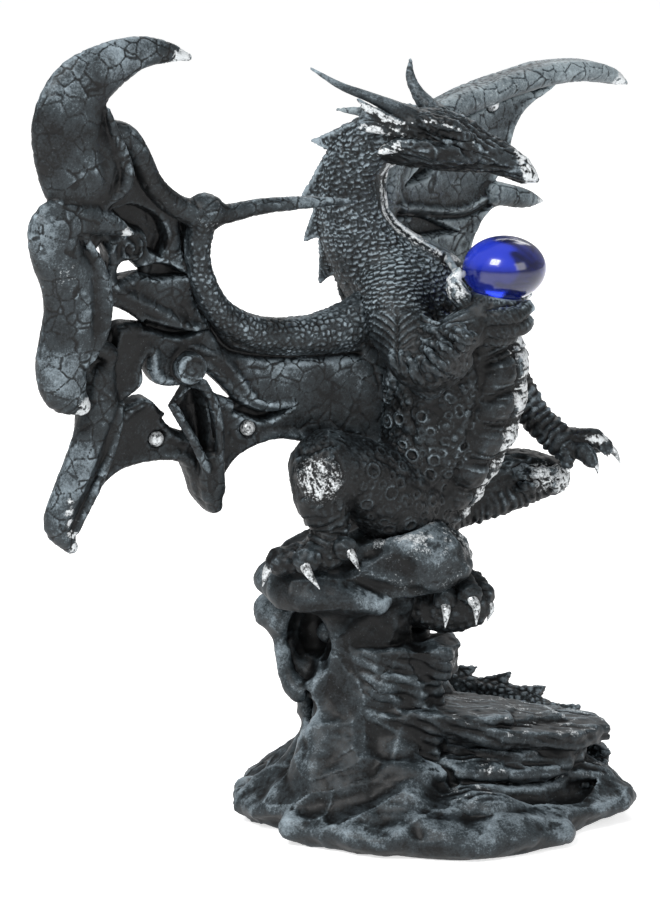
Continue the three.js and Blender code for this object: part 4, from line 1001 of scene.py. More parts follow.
def rock_clay():
    clay = Clay((-84, -76, -3), (84, 72, 116), 0.72)
    rim_at, rim = np.array(RIM).T
    levels = curve(COLUMN, 4)

    def foot(x, y, z):
        bearing = np.degrees(np.arctan2(y, x)) % 360
        reach = np.interp(bearing, rim_at, rim)
        side = (np.hypot(x, y) - reach * (0.97 + 0.03 * ease(z, 0, 5)) + 0.7 * np.maximum(z - 7, 0)) * 0.9
        over = z - 12.5 + 0.03 * np.abs(x + 10) - 1.2 * np.sin(0.11 * x + 0.05 * y)
        return -soft_join(-side, -over, 4)

    def column(x, y, z):
        row = [np.interp(z, levels[:, 0], levels[:, k]) for k in range(1, 5)]
        dx, dy = x - row[0], y - row[1]
        angle = np.arctan2(dy / row[3], dx / row[2])
        wave = 1 + 0.045 * np.sin(5 * angle + 0.06 * z) + 0.03 * np.sin(9 * angle - 0.11 * z + 1.3)
        wave = wave + 0.025 * np.sin(3 * angle + 0.17 * z + 0.5)
        reached = np.hypot(dx / row[2], dy / row[3]) / wave
        side = (reached - 1) * np.minimum(row[2], row[3]) * 0.8
        return np.maximum(side, np.maximum(z - 113, 5 - z))

    clay.put((-80, -72, -2), (80, 68, 16), foot, 1)
    clay.put((-74, -60, 4), (70, 62, 114), column, 4)
    for stations in LEDGES:
        clay.limb(stations, soft=3, facing=(0, 0, 1))
    for stations in BOULDERS:
        clay.limb(stations, soft=3, facing=(0, 0, 1))
    for stations in ROOTS:
        clay.limb(stations, soft=6)
    for corners, level, rise, thick in SLABS:
        slab(clay, corners, level, rise, thick)
    for centre, radii, seed in CHUNKS:
        chunk(clay, centre, radii, seed)
    clay.limb([[-50, -40, 7, 12, 5], [-20, -52, 7, 14, 6], [4, -56, 7, 12, 6]], soft=4, facing=(0, 0, 1))
    clay.limb([[-55, -10, 88, 2.8], [-58.6, -11, 78, 2.6], [-58, -12, 66, 2.4], [-54.6, -14, 55, 2.6],
               [-50, -17, 49, 3]], soft=3)
    clay.limb([[-41, -15, 87, 3], [-36, -17, 77, 3.4], [-35.6, -18, 66, 3.6], [-39, -20, 55, 3.4],
               [-45, -20, 51, 3]], soft=4)
    clay.ball((-47.2, -19, 68.5), (9.4, 15, 13.8), soft=1.4, cut=True)
    clay.ball((-40.5, -9, 70), (3, 4, 3.4), soft=1.5)

    def cave(x, y, z):
        under = (z - 86.5 - 0.46 * (x + 9)) * 0.9
        return np.maximum(np.maximum(under, -9 - x), np.maximum(y + 4, 69.5 - z))

    clay.put((-12, -40, 66), (34, -2, 106), cave, 2.5, cut=True)
    for x, y, z, size in ((-47, -17, 48, 2), (-46, -17, 43, 3), (-46, -19, 37, 2.8), (-47.5, -22, 32, 1.6)):
        clay.ball((x, y, z), (size, 3 * size, 1.6 * size), soft=1.2, cut=True)
    clay.limb([[14, -45, 20, 2.4], [30, -41, 17, 4.2], [46, -32, 15, 4.8], [58, -21, 14, 3]], soft=1.5,
              cut=True)
    clay.limb([[0, -38, 32, 1.2], [12, -39, 30.6, 2], [26, -40, 30, 2.2], [46, -32, 28.4, 2],
               [60, -16, 25.6, 1.4]], soft=1, cut=True)
    clay.limb([[-8, -34, 31, 1], [2, -36, 26, 1.8], [6, -38, 20, 2.4]], soft=2, cut=True)
    clay.limb([[-34, -34, 100, 1.2], [-22, -33, 93, 2.2], [-8, -32, 90, 1.6], [6, -26, 88, 1.2]], soft=2,
              cut=True)
    clay.ball((-15, -36, 101), (9, 5, 5.5), soft=4, cut=True)
    clay.put((-84, -76, -9), (84, 72, 0), lambda x, y, z: z, 0.6, cut=True)
    return clay


def carve_rock(points, normals):
    """Worn scoops that meet in soft ridges, split layers on the ledges, and a flat underside."""
    x, _, z = points.T
    bent = warped(points, 3, 17, 71)
    upright = ease(z, 22, 36) * (1 - ease(z, 74, 86))
    tall = scoops(stretched(bent, (0.15, 0, 1), 1.9), 13, 74) - 0.5
    lying = scoops(stretched(bent, (1, 0.25, 0.1), 2.2), 13, 75) - 0.5
    small = scoops(stretched(bent, (1, 0.1, -0.2), 1.8), 5.5, 76) - 0.5
    worn_in = 2.2 * (upright * tall + (1 - upright) * lying) + 0.35 * small + 1.3 * noise(bent, 8, 70)
    ledge = ease(x, -6, 10) * ease(z, 14, 20) * (1 - ease(z, 50, 56))
    layer = ((z + 2.2 * noise(points, 18, 77) + 0.1 * x) / 5.2) % 1
    split = 0.35 * (ease(layer, 0, 0.6) - ease(layer, 0.88, 1) - 0.4)
    streak = strands(bent, (1, 0.1, -0.12), 2.6, 7, 79) - 0.5
    flat = ease(np.abs(normals[:, 2]), 0.5, 0.8)
    ledges = split * (1 - flat) + 0.9 * streak * flat + 0.3 * streak + 0.8 * small
    grit = 0.16 * rough(points, 2.4, 3, 78)
    height = (1 - ledge) * worn_in + ledge * ledges + grit
    height = height * ease(z, 0.2, 2.5)
    worn = rough(points, 3.2, 3, 81)
    top = ease(normals[:, 2], 0.25, 0.85)
    brushed = strands(points, (1, 0.4, -0.3), 1.4, 6, 82)
    silver = 0.7 * (0.35 + 0.65 * top) * ease(z, 84, 92) * ease(x, -34, -16) * ease(worn + brushed, 0.4, 1.1)
    on_ledge = 0.5 * ledge * ease(normals[:, 2], 0.1, 0.7)
    silver = silver + on_ledge * ease(worn + brushed + 0.5 * streak, 0.8, 1.4)
    flecks = spots(points, [[4, -20, 63, 7], [-62, -14, 98, 5], [12, -16, 97, 9]])
    silver = silver + 0.7 * flecks * ease(worn, -0.4, 0.4)
    # Places facing up are lighter: painted light from above
    paint_and_painted_light = 0.27 + 0.22 * noise(points, 22, 83) + 0.16 * top + 0.06 * (1 - ease(z, 10, 26)) - 0.1 * ledge
    # Darker under the right foot and in the hollow under the shelf: painted shade
    paint_and_painted_light = paint_and_painted_light - 0.2 * spots(points, [[-46, -32, 92, 22], [0, -14, 76, 16]])
    paint_and_painted_light = paint_and_painted_light + 0.22 * spots(points, [[-2, -34, 104, 19], [-16, -38, 90, 14], [-20, -30, 55, 16]])
    return height, np.clip(silver, 0, 0.75), np.clip(paint_and_painted_light, 0, 1)


# Wings, in a frame of their own: u along the wing, v up it, w out of its front
RIGHT_WING = {"root": (-20, -12, 190), "yaw": 30, "lean": 8, "cup": 4, "from": -140, "to": 12}
LEFT_WING = {"root": (-14, 22, 192), "yaw": 40, "lean": 5, "cup": 5, "from": -20, "to": 116}
MEMBRANE = 8  # thickness of the wing's sheet
SEAM = 0.3  # a wing is cut this far clear of the limbs that it meets


def wing_axes(wing):
    yaw, lean = math.radians(wing["yaw"]), math.radians(wing["lean"])
    along = [math.cos(yaw), math.sin(yaw), 0]
    up = [math.sin(yaw) * math.sin(lean), -math.cos(yaw) * math.sin(lean), math.cos(lean)]
    out = [math.sin(yaw) * math.cos(lean), -math.cos(yaw) * math.cos(lean), -math.sin(lean)]
    return np.array([along, up, out])


def cup_at(wing, u):
    return -wing["cup"] * np.sin(np.pi * (u - wing["from"]) / (wing["to"] - wing["from"]))


def outline(stretches, detail=7):
    """A closed outline from stretches of smooth curve that meet at corners."""
    return np.vstack([curve(stretch, 1 if len(stretch) == 2 else detail)[:-1] for stretch in stretches])


def square_from(u, v, ax, ay, bx, by):
    """Squared distance of each place from the straight line between two corners."""
    dx, dy = bx - ax, by - ay
    share = np.clip(((u - ax) * dx + (v - ay) * dy) / max(dx * dx + dy * dy, 1e-9), 0, 1)
    return (u - ax - share * dx) ** 2 + (v - ay - share * dy) ** 2


def inside_by(corners, u, v):
    """How far each place is inside a closed outline, less than nothing outside it."""
    near = np.full(np.broadcast(u, v).shape, 1e9)
    within = np.zeros(near.shape, bool)
    for (ax, ay), (bx, by) in zip(corners, np.roll(corners, -1, axis=0)):
        near = np.minimum(near, square_from(u, v, ax, ay, bx, by))
        if ay != by:
            crossing = ((v < ay) != (v < by)) & (u < (bx - ax) * (v - ay) / (by - ay) + ax)
            within ^= crossing
    return np.where(within, 1, -1) * np.sqrt(near)


def beside(rows, u, v):
    """Distance from a smooth line through rows of [u, v]."""
    line = curve(rows, 6)
    near = np.full(np.broadcast(u, v).shape, 1e9)
    for (ax, ay), (bx, by) in zip(line, line[1:]):
        near = np.minimum(near, square_from(u, v, ax, ay, bx, by))
    return np.sqrt(near)


def membrane(clay, wing, form):
    """The wing's sheet: cupped and pierced, with a raised rim, grooves, ridges and hollows."""

    def distance(u, v, w):
        edge = inside_by(outline(form["edge"]), u[:, :, 0], v[:, :, 0])
        for hole in form["holes"]:
            edge = np.minimum(edge, -inside_by(outline(hole), u[:, :, 0], v[:, :, 0]))
        swell = 0.9 * hump(edge, 2.2, 1.7)
        for rows, width, high in form["ridges"]:
            swell = swell + high * hump(beside(rows, u[:, :, 0], v[:, :, 0]), 0, width)
        for hollow, depth in form["hollows"]:
            swell = swell - depth * ease(inside_by(outline(hollow), u[:, :, 0], v[:, :, 0]), -0.5, 1.2)
        swell = np.maximum(swell, -MEMBRANE + 1.6)
        cup = cup_at(wing, u)
        front = w - cup - MEMBRANE / 2 - swell[:, :, None]
        back = cup - MEMBRANE / 2 - 0.5 * hump(edge, 2.2, 1.7)[:, :, None] - w
        flat = -soft_join(-front, -back, 1.0)
        return -soft_join(-flat, edge[:, :, None], 2.2)

    low = clay.low
    clay.put(low, low + (clay.shape - 1) * clay.grain, distance, 1)


RIGHT_FORM = {
    "edge": [
        [[-114, 76], [-105, 72], [-101, 61], [-88, 49], [-77, 44]],
        [[-77, 44], [-78, 30], [-74, 16], [-63, 3], [-50, -3], [-36, -5], [-18, -3], [6, 3]],
        [[6, 2], [8, -30], [4, -50]],
        [[4, -50], [-12, -51], [-27, -47], [-41, -44], [-54, -48], [-60, -54], [-62, -61], [-62, -69]],
        [[-62, -69], [-66, -70]],
        [[-66, -70], [-72, -63], [-75, -55], [-79, -49], [-90, -47], [-104, -49], [-114, -57], [-119, -69]],
        [[-119, -69], [-124, -74], [-129, -70]],
        [[-129, -70], [-127, -56], [-121, -38], [-121, -14], [-126, 12], [-123, 40], [-121, 60], [-120, 72]],
        [[-120, 72], [-114, 76]],
    ],
    "holes": [
        [[[-109, 26], [-107, 28], [-104, 28], [-98, 23]], [[-98, 23], [-109, 22]], [[-109, 22], [-109, 26]]],
        [[[-114, 14], [-105, 10], [-96, 4]], [[-96, 4], [-107, 5], [-113, -2]],
         [[-113, -2], [-118, -1], [-114, 6], [-114, 14]]],
        [[[-95, -7], [-94, -14], [-89, -19], [-77, -20]], [[-77, -20], [-85, -30], [-95, -23], [-106, -27]],
         [[-106, -27], [-105, -23], [-97, -18], [-97, -11], [-95, -7]]],
        [[[-72, -15], [-65, -21], [-57, -29]], [[-57, -29], [-66, -25], [-74, -18]],
         [[-74, -18], [-72, -15]]],
        [[[-88, -31], [-83, -29], [-76, -39]], [[-76, -39], [-83, -36], [-88, -31]]],
        [[[-116, 36], [-113, 29], [-115, 20]], [[-115, 20], [-121, 28], [-116, 36]]],
    ],
    "ridges": [
        [[[-108, 37], [-112, 35], [-114, 31], [-114, 25], [-111, 20], [-103, 15], [-92, 9], [-79, 2],
          [-74, 2]], 1.8, 1.6],
        [[[-113, 5], [-110, 7.5], [-105, 7.5], [-94, 5], [-86, 3], [-78, 1]], 1.6, 1.2],
        [[[-79, -5], [-74, -7], [-67, -10], [-59, -18], [-53, -26], [-46, -30], [-36, -31]], 1.7, 1.4],
        [[[-107, -25], [-112, -34], [-117, -46], [-121, -56]], 1.4, 1.5],
        [[[-106, -24], [-97, -21], [-92, -25], [-85, -27]], 1.4, 1.1],
        [[[-75, -20], [-71, -30], [-68, -42], [-67, -52], [-66, -62]], 1.6, 1.8],
        [[[-84, -27], [-78, -33], [-73, -42], [-71, -50]], 1.4, 1.0],
        [[[-113, 71], [-107, 65], [-102, 61], [-99, 55], [-92, 48], [-85, 43], [-84, 38], [-83, 31],
          [-80, 22], [-77, 12], [-71, 3],
          [-64, -7], [-56, -10.5], [-43, -13], [-26, -14], [-10, -14]], 1.3, -3.0],
        [[[-104, 33], [-106, 35], [-108, 33], [-107, 30], [-104, 29], [-101, 31], [-101, 35]], 1.1, 1.6],
    ],
    "hollows": [
        [[[[-113, 47], [-104, 48], [-94, 43], [-90, 35], [-92, 28]],
          [[-92, 28], [-97, 31], [-99, 37], [-105, 40], [-113, 47]]], 5.5],
        [[[[-100, 26], [-90, 26], [-79, 20]], [[-79, 20], [-92, 20], [-100, 22]], [[-100, 22], [-100, 26]]],
         5.0],
        [[[[-98, 7], [-84, 2], [-71, 0]], [[-71, 0], [-84, -2], [-98, 3]], [[-98, 3], [-98, 7]]], 5.0],
        [[[[-59, -27], [-46, -33], [-33, -31]], [[-33, -31], [-46, -37], [-60, -32]],
          [[-60, -32], [-59, -27]]], 5.0],
        [[[[-112, 4], [-108, 4], [-108, -2], [-111, -8]], [[-111, -8], [-115, -3], [-112, 4]]], 3.5],
        [[[[-82, -27], [-75, -21], [-70, -36], [-69, -48]], [[-69, -48], [-75, -39], [-82, -27]]], 5.5],
    ],
    "studs": [[-90, -38.5], [-53, -38.5]],
}
LEFT_FORM = {
    "edge": [
        [[-4, 62], [3, 66], [15, 70], [34, 75.5], [52, 79], [70, 82], [89, 82], [101, 79], [108, 74]],
        [[108, 74], [105, 72], [97, 73], [86, 74], [76, 73], [68, 69], [60, 64], [55, 56], [53, 46],
         [46, 37]],
        [[46, 37], [57, 35], [70, 30]],
        [[70, 30], [66, 27], [54, 29], [44, 25], [38, 14], [41, 6], [44, -2], [48, -14]],
        [[48, -14], [44, -18], [34, -12], [22, -6], [10, -8], [-2, -16]],
        [[-2, -16], [-10, -4], [-10, 4]],
        [[-10, 4], [-12, 24], [-10, 44], [-4, 63]],
    ],
    "holes": [],
    "ridges": [
        [[[-6, 34], [6, 32], [18, 30], [31, 29], [44, 33], [56, 33]], 1.4, 1.8],
        [[[-4, 30.5], [8, 28.5], [20, 27], [33, 26], [44, 29]], 1.0, -2.0],
        [[[-6, 40], [8, 20], [26, 6], [40, -6]], 1.8, 1.2],
        [[[0, 58], [15, 61], [34, 66], [52, 71], [70, 74], [88, 74]], 1.2, -2.4],
    ],
    "hollows": [
        [[[[-1, 41], [8, 48], [19, 51]], [[19, 51], [11, 43], [-1, 41]]], 5.0],
        [[[[-4, 25], [10, 28], [31, 20]], [[31, 20], [12, 20], [-4, 23], [-4, 25]]], 4.5],
    ],
    "studs": [[43, 68], [30, 4]],
}
RIGHT_BONES = [
    [[-78, 42, 2, 5], [-79, 30, 2, 4.4], [-75, 17, 1, 4.4], [-66, 5, 0, 5], [-53, -2, 0, 5.6],
     [-37, -5, 0, 6.4], [-20, -4, 0, 7.5], [-2, 2, 0, 9]],
    [[-77, 43, 2, 5.2], [-87.5, 46.5, 2, 4], [-97.3, 54.7, 2, 3.8], [-103.2, 65, 2, 3.8],
     [-109, 72.5, 2, 4.2], [-116, 75, 2, 4]],
    [[-87, 99, 3, 1.2, 1], [-96, 101.5, 4, 3.6, 2.6], [-107, 102, 5, 5.6, 3.8], [-118, 98.5, 6, 8.2, 5],
     [-128, 92, 6, 10.8, 6],
     [-132.5, 83, 6, 12.6, 6.5], [-131.5, 72, 6, 13.8, 7], [-127, 61, 6, 14.6, 7], [-123, 51, 4, 11, 6]],
    [[-108, 40, 8, 0.9, 0.9], [-116, 44, 9, 3.4, 3], [-127, 47, 9, 6.4, 5], [-137, 45, 9, 9.4, 6],
     [-136, 35, 8, 9, 6.5],
     [-130, 25, 7, 10.6, 6.5], [-127.6, 14, 7, 11.2, 6.5], [-129, 4, 7, 11, 6.5], [-132, -6, 7, 9.2, 6],
     [-130, -15, 7, 7.6, 5],
     [-123, -21, 6, 3.2, 3]],
    [[-114, -12, 1, 5.6, 5], [-114, -26, 1, 6.8, 6], [-118.5, -41, 1, 6, 5.6], [-124, -55, 1, 5.6, 5],
     [-127.5, -66, 1, 5.2, 4.6],
     [-122, -75, 1, 2.4, 2.4]],
    [[-76, 43.5, 3, 4.8], [-70, 43.2, 4, 3.4], [-56, 45, 4, 2.8], [-36, 45.4, 5, 2], [-17, 44, 4, 0.5]],
    [[-69, -48, 0, 3.2, 4.4], [-68, -56, 1, 4.8, 4.8], [-65.5, -66, 1, 3, 3.4]],
]
# Channels pressed into the lobes, each with how soft its edge is, and rolled rims beside them
RIGHT_CREASES = [
    ([[-96, 98, 10, 1.2], [-106, 94, 12.2, 2.4], [-115, 87, 14.4, 3.4], [-120, 78, 15.4, 4.2],
      [-121, 69, 15.8, 4.4],
      [-119, 61, 15.2, 3.4], [-121, 55, 15, 1.8]], 2.2),
    ([[-129, 41, 17, 1.6], [-125.5, 32, 16.5, 3.4], [-122, 23, 15.5, 4], [-121, 14, 15.2, 4],
      [-121.5, 6, 15.2, 3.4], [-125, -3, 15.5, 1.6]], 1.0),
    ([[-108, -25, 7, 1.6], [-111, -34, 7.5, 2.4], [-114, -43, 7, 2.4], [-118, -52, 6, 2],
      [-122, -60, 6, 1.2]], 1.0),
    ([[-120, -10, 9, 1.6], [-115, -14, 9, 2.6], [-109, -17, 8, 2.4]], 0.8),
    ([[-79, -25, 6, 2.4], [-75.5, -32, 6.5, 4.2], [-71.5, -40, 7, 3.2], [-68.5, -48, 7, 1.4]], 0.8),
    ([[-128, 62, 15, 1], [-136, 54, 16, 3], [-146, 50, 15, 3]], 2.0),
]
RIGHT_RIMS = [
    [[-120, 84, 10, 0.8], [-117, 76, 10, 1.6], [-114, 69, 10, 1.9], [-111.5, 62, 10, 2],
     [-113, 56, 10, 1.8], [-119, 51.5, 10, 1]],
    [[-127, 41, 11, 0.8], [-122, 33, 10.5, 1.6], [-118.4, 24, 10, 2], [-117, 15, 10, 2], [-118, 6, 10, 1.7],
     [-122, -2, 10, 0.8]],
    [[-106, -24, 3, 1], [-108, -34, 4, 1.5], [-111, -44, 4, 1.5], [-116, -56, 4, 1.3], [-121, -68, 3, 0.8]],
    [[-74, -18, 3, 1.2], [-69.5, -27, 4, 1.7], [-66.5, -38, 4, 1.7], [-66, -50, 4, 1.6], [-64, -60, 3, 1.2]],
    [[-86, -26, 3, 1.2], [-80, -35, 4, 1.6], [-75, -43, 4, 1.6], [-71, -52, 4, 1.5], [-70, -62, 3, 1.2]],
]
LEFT_BONES = [
    [[-2, -4, 0, 8], [-8, 10, 0, 6.4], [-11, 28, 0, 5.4], [-9, 46, 0, 5], [-2, 64, 0, 5]],
    [[-2, 62, 0, 5.2, 5.2], [15, 66.4, 0, 4.6, 5], [34, 71, 0, 4.4, 5], [52, 75.5, 1, 4.2, 5],
     [70, 78.5, 2, 4.2, 4.6],
     [88, 78.5, 3, 3.8, 4], [101, 76, 3, 2.8, 3], [109, 72.5, 3, 0.8, 1]],
    [[46, 34, 0, 4.4, 4.6], [60, 31, 1, 3.6, 4], [70, 29, 1, 0.8, 1]],
    [[26, 6, 0, 3, 4.8], [40, -6, 0, 3.4, 4.4], [48, -16, 0, 0.9, 1]],
    [[-2, 64, -2, 4, 4], [-7, 66, -13, 2.4, 2.4], [-14, 66, -24, 0.5, 0.5]],
]
STUD = {"radius": 2.8, "well": 3.9, "depth": 2.0}


def cut_body(clay, wing):
    """Cuts the wing where it meets the body, the upper arm and the thigh, leaving the seam."""
    axes = wing_axes(wing)
    facing = tuple(axes @ np.array([0, 1, 0]))
    for rows in (SPINE, RIGHT_UPPER_ARM, RIGHT_THIGH):
        stations = []
        for row in rows:
            middle = axes @ (np.array(row[:3]) - wing["root"])
            stations.append([*middle, *[size + SEAM for size in row[3:]]])
        clay.limb(stations, soft=0.3, facing=facing, detail=3, cut=True)


def wing_clay(wing, form, bones, low, high):
    clay = Clay(low, high, 0.56)
    membrane(clay, wing, form)
    for number, stations in enumerate(bones):
        clay.limb(stations, soft=1.2 if number else 2.5, facing=(0, 0, 1))
    for u, v in form["studs"]:
        face = float(cup_at(wing, u)) + MEMBRANE / 2
        clay.ball((u, v, face + 0.6), (STUD["well"], STUD["well"], STUD["depth"] + 0.6), soft=0.5, cut=True)
    return clay


def right_wing_clay():
    clay = wing_clay(RIGHT_WING, RIGHT_FORM, RIGHT_BONES, (-152, -84, -16), (20, 110, 20))
    clay.ball((-77, 44, 2), (7, 6.6, 7), soft=1.5)

    for rows, soft in RIGHT_CREASES:
        clay.limb(rows, soft=soft, facing=(0, 0, 1), cut=True)
    for rows in RIGHT_RIMS:
        clay.limb(rows, soft=2.4, facing=(0, 0, 1))

    def drum(u, v, w):
        side = np.hypot(u + 80, v + 12) - 5.4
        return -soft_join(-side, 8.5 - np.abs(w + 2), 1.0)

    clay.put((-87, -19, -11), (-73, -5, 7), drum, 0.8)
    clay.limb([[-117, -1, 2, 3, 4], [-112, -4, 2, 3.4, 4], [-112, -9, 1, 3, 4]], soft=0.8, facing=(0, 0, 1))
    spiral = []
    for step in range(15):
        turn, reach = 0.5 * step, 4.6 - 0.29 * step
        spiral.append([-80 + reach * math.cos(turn), -12 + reach * math.sin(turn), 6.6, 0.55])
    clay.limb(spiral, soft=0.5, detail=3, cut=True)
    cut_body(clay, RIGHT_WING)
    return clay


def left_wing_clay():
    clay = wing_clay(LEFT_WING, LEFT_FORM, LEFT_BONES, (-34, -30, -32), (118, 92, 16))
    cut_body(clay, LEFT_WING)
    return clay


def crackle(points, size, seed):
    """Fine cracks between flat plates: where the cracks are, and the height of it all."""
    near, far, mark, _ = cells(warped(points, 0.8, 4, seed + 5), size, seed)
    crack = hump(far - near, 0, 0.3) * ease(mark, 0.05, 0.25)
    return crack, 0.12 * mark - 0.32 * crack


def carve_wing(bones, pebbled, tips, flecked, lit, lit_pale):
    """A carver for one wing: crackle all over, pebbly scales on the arm bone, silver on the tips."""

    def carve(points, normals):
        bone = Course(bones[0], (0, 0, 1), 5).place(points)[3]
        on_bone = (1 - ease(bone, 1.15, 1.5)) * pebbled
        near, far, mark, _ = cells(points, 2.1, 91)
        pebbles = 0.4 * ease(far - near, 0, 0.9) + 0.12 * mark + 0.3 * noise(points, 5, 90)
        crack, plates = crackle(points, 6.8, 92)
        plates = plates + 0.14 * rough(points, 2.2, 2, 93) + 0.4 * noise(points, 13, 89)
        height = on_bone * pebbles + (1 - on_bone) * plates
        wall = 1 - ease(np.abs(normals[:, 2]), 0.25, 0.55)
        height = height * (1 - 0.6 * wall) + 0.35 * wall * (strands(points, (0.2, 1, 0), 1.2, 6, 94) - 0.5)
        worn = rough(points, 2, 3, 95)
        near_tip = spots(points, tips)
        silver = near_tip * ease(worn + 1.1 * near_tip, 0.2, 0.9)
        silver = np.maximum(silver, 0.3 * spots(points, flecked) * ease(worn, -0.2, 0.6))
        # Lobes that stand forward of the sheet are lighter: painted light
        lobe_painted_light = ease(points[:, 2], 5, 13) * (1 - ease(points[:, 1], 48, 60))
        # The far wing's paint is lifted: painted light
        paint_and_painted_light = 0.34 + lit_pale + 0.32 * noise(points, 26, 96) + 0.14 * noise(points, 8, 88)
        paint_and_painted_light = paint_and_painted_light + 0.16 * lobe_painted_light - 0.6 * crack * (1 - on_bone)
        # Lighter patches on the lobes: painted highlights
        paint_and_painted_light = paint_and_painted_light + 0.34 * spots(points, lit)
        return height, np.clip(silver, 0, 1), np.clip(paint_and_painted_light, 0, 1)

    return carve


RIGHT_TIPS = [
    [-91, 100, 4, 7], [-110, 40.5, 11, 5], [-123, -21, 9, 6], [-126, -56, 7, 2.6], [-125.5, -60, 7, 3],
    [-124.5, -64, 6.5, 3.4], [-123, -69, 6, 4.5], [-121, -74, 3, 4.5],
]
LEFT_TIPS = [[106, 74, 4, 9], [70, 29, 4, 7], [48, -16, 2, 6]]
RIGHT_FLECKS = [[-126, -30, 7, 10], [-134, 30, 13, 8], [-128, -14, 12, 9], [-77, 44, 7, 8]]
# Painted highlights on the right wing's lobes, as [u, v, w, reach]
RIGHT_LIT = [
    [-129, 62, 12, 15], [-133, 88, 12, 13], [-112, 103, 8, 12], [-138, 42, 14, 14], [-131, -8, 12, 15],
    [-122, -44, 7, 14], [-90, -14, 4, 14], [-40, -22, 2, 20], [-12, -18, 2, 16],
]
# Painted highlights on the far wing, as [u, v, w, reach]
LEFT_LIT = [[84, 78, 5, 26], [50, 74, 5, 26], [12, 50, 4, 22], [40, 44, 4, 20], [24, 14, 4, 20]]
LEFT_FLECKS = [
    [98, 77, 5, 10], [86, 79, 6, 9], [72, 79, 5, 8],
    [46, 76, 5, 9], [36, 74, 5, 9], [26, 71, 5, 9], [16, 69, 5, 9],
]


# Materials
def hexed(value):
    """A colour written as six hex figures, turned to the linear numbers that nodes use."""
    parts = [int(value[k:k + 2], 16) / 255 for k in (0, 2, 4)]
    return tuple(c / 12.92 if c <= 0.04045 else ((c + 0.055) / 1.055) ** 2.4 for c in parts) + (1.0,)


def add(tree, kind, links=(), **settings):
    """Adds a node. Settings name its properties, or its sockets as i0, i1. Links are (socket, source)."""
    node = tree.nodes.new(kind)
    for key, value in settings.items():
        if key[0] == "i" and key[1:].isdigit():
            node.inputs[int(key[1:])].default_value = value
        else:
            setattr(node, key, value)
    for socket, source in links:
        tree.links.new(source, node.inputs[socket])
    return node


def new_material(name):
    material = bpy.data.materials.new(name)
    material.use_nodes = True
    tree = material.node_tree
    tree.nodes.clear()
    return material, tree


def surface(tree, values, links=()):
    """The material's shader, with its values by socket and its links, as the tree's result."""
    shader = add(tree, "ShaderNodeBsdfPrincipled", links)
    for socket, value in values.items():
        shader.inputs[socket].default_value = value
    add(tree, "ShaderNodeOutputMaterial", [(0, shader.outputs[0])])


def painted_resin(name, wash_and_shade, base, high, silver_paint):
    """Cold-cast resin, painted dark, washed black in its hollows and dry-brushed on its high places.

    Black-washed recesses and painted shade in broad hollows show near-black, the brushing as blue-grey and
    silver
        specks on what stands out, and the tone it reads also holds painted light on what faces up.
    """
    material, tree = new_material(name)
    place = add(tree, "ShaderNodeTexCoord").outputs["Object"]
    tone = add(tree, "ShaderNodeAttribute", attribute_name="tone").outputs["Fac"]
    silver = add(tree, "ShaderNodeAttribute", attribute_name="silver").outputs["Fac"]
    # Grains of about 1 mm and blotches of about 6 mm
    grain = add(tree, "ShaderNodeTexNoise", [(0, place)], i2=1300.0, i3=5.0, i4=0.7).outputs[0]
    blotch = add(tree, "ShaderNodeTexNoise", [(0, place)], i2=170.0, i3=4.0, i4=0.6).outputs[0]
    speck = add(tree, "ShaderNodeMath", [(0, grain)], i1=0.9, i2=-0.45, operation="MULTIPLY_ADD").outputs[0]
    patch = add(tree, "ShaderNodeMath", [(0, blotch)], i1=0.3, i2=-0.15, operation="MULTIPLY_ADD").outputs[0]
    uneven = add(tree, "ShaderNodeMath", [(0, speck), (1, patch)], operation="ADD").outputs[0]
    light = add(tree, "ShaderNodeMath", [(0, tone), (1, uneven)], operation="ADD").outputs[0]
    ramp = add(tree, "ShaderNodeValToRGB", [(0, light)])
    stops = ramp.color_ramp.elements
    stops[0].color, stops[1].color = wash_and_shade, high
    stops[0].position, stops[1].position = 0.05, 0.95
    stops.new(0.42).color = base
    worn = add(tree, "ShaderNodeMath", [(0, grain)], i1=2.2, i2=-1.1, operation="MULTIPLY_ADD").outputs[0]
    brushed = add(tree, "ShaderNodeMath", [(0, silver), (1, worn)], operation="ADD").outputs[0]
    gleam = add(
        tree, "ShaderNodeMapRange", [(0, brushed)], i1=0.3, i2=0.95, i3=0.0, i4=1.0,
        interpolation_type="SMOOTHSTEP",
    ).outputs[0]
    painted = add(tree, "ShaderNodeMix", [(0, gleam), (6, ramp.outputs[0])], data_type="RGBA")
    painted.inputs[7].default_value = silver_paint
    bump = add(tree, "ShaderNodeBump", [(2, grain)], i0=0.45, i1=0.0005)
    metal = add(tree, "ShaderNodeMath", [(0, gleam)], i1=0.35, operation="MULTIPLY").outputs[0]
    dull = add(tree, "ShaderNodeMapRange", [(0, grain)], i1=0.3, i2=0.7, i3=0.4, i4=0.6).outputs[0]
    surface(tree, {"Specular IOR Level": 0.24}, [
        ("Base Color", painted.outputs[2]), ("Metallic", metal), ("Roughness", dull),
        ("Normal", bump.outputs[0]),
    ])
    return material


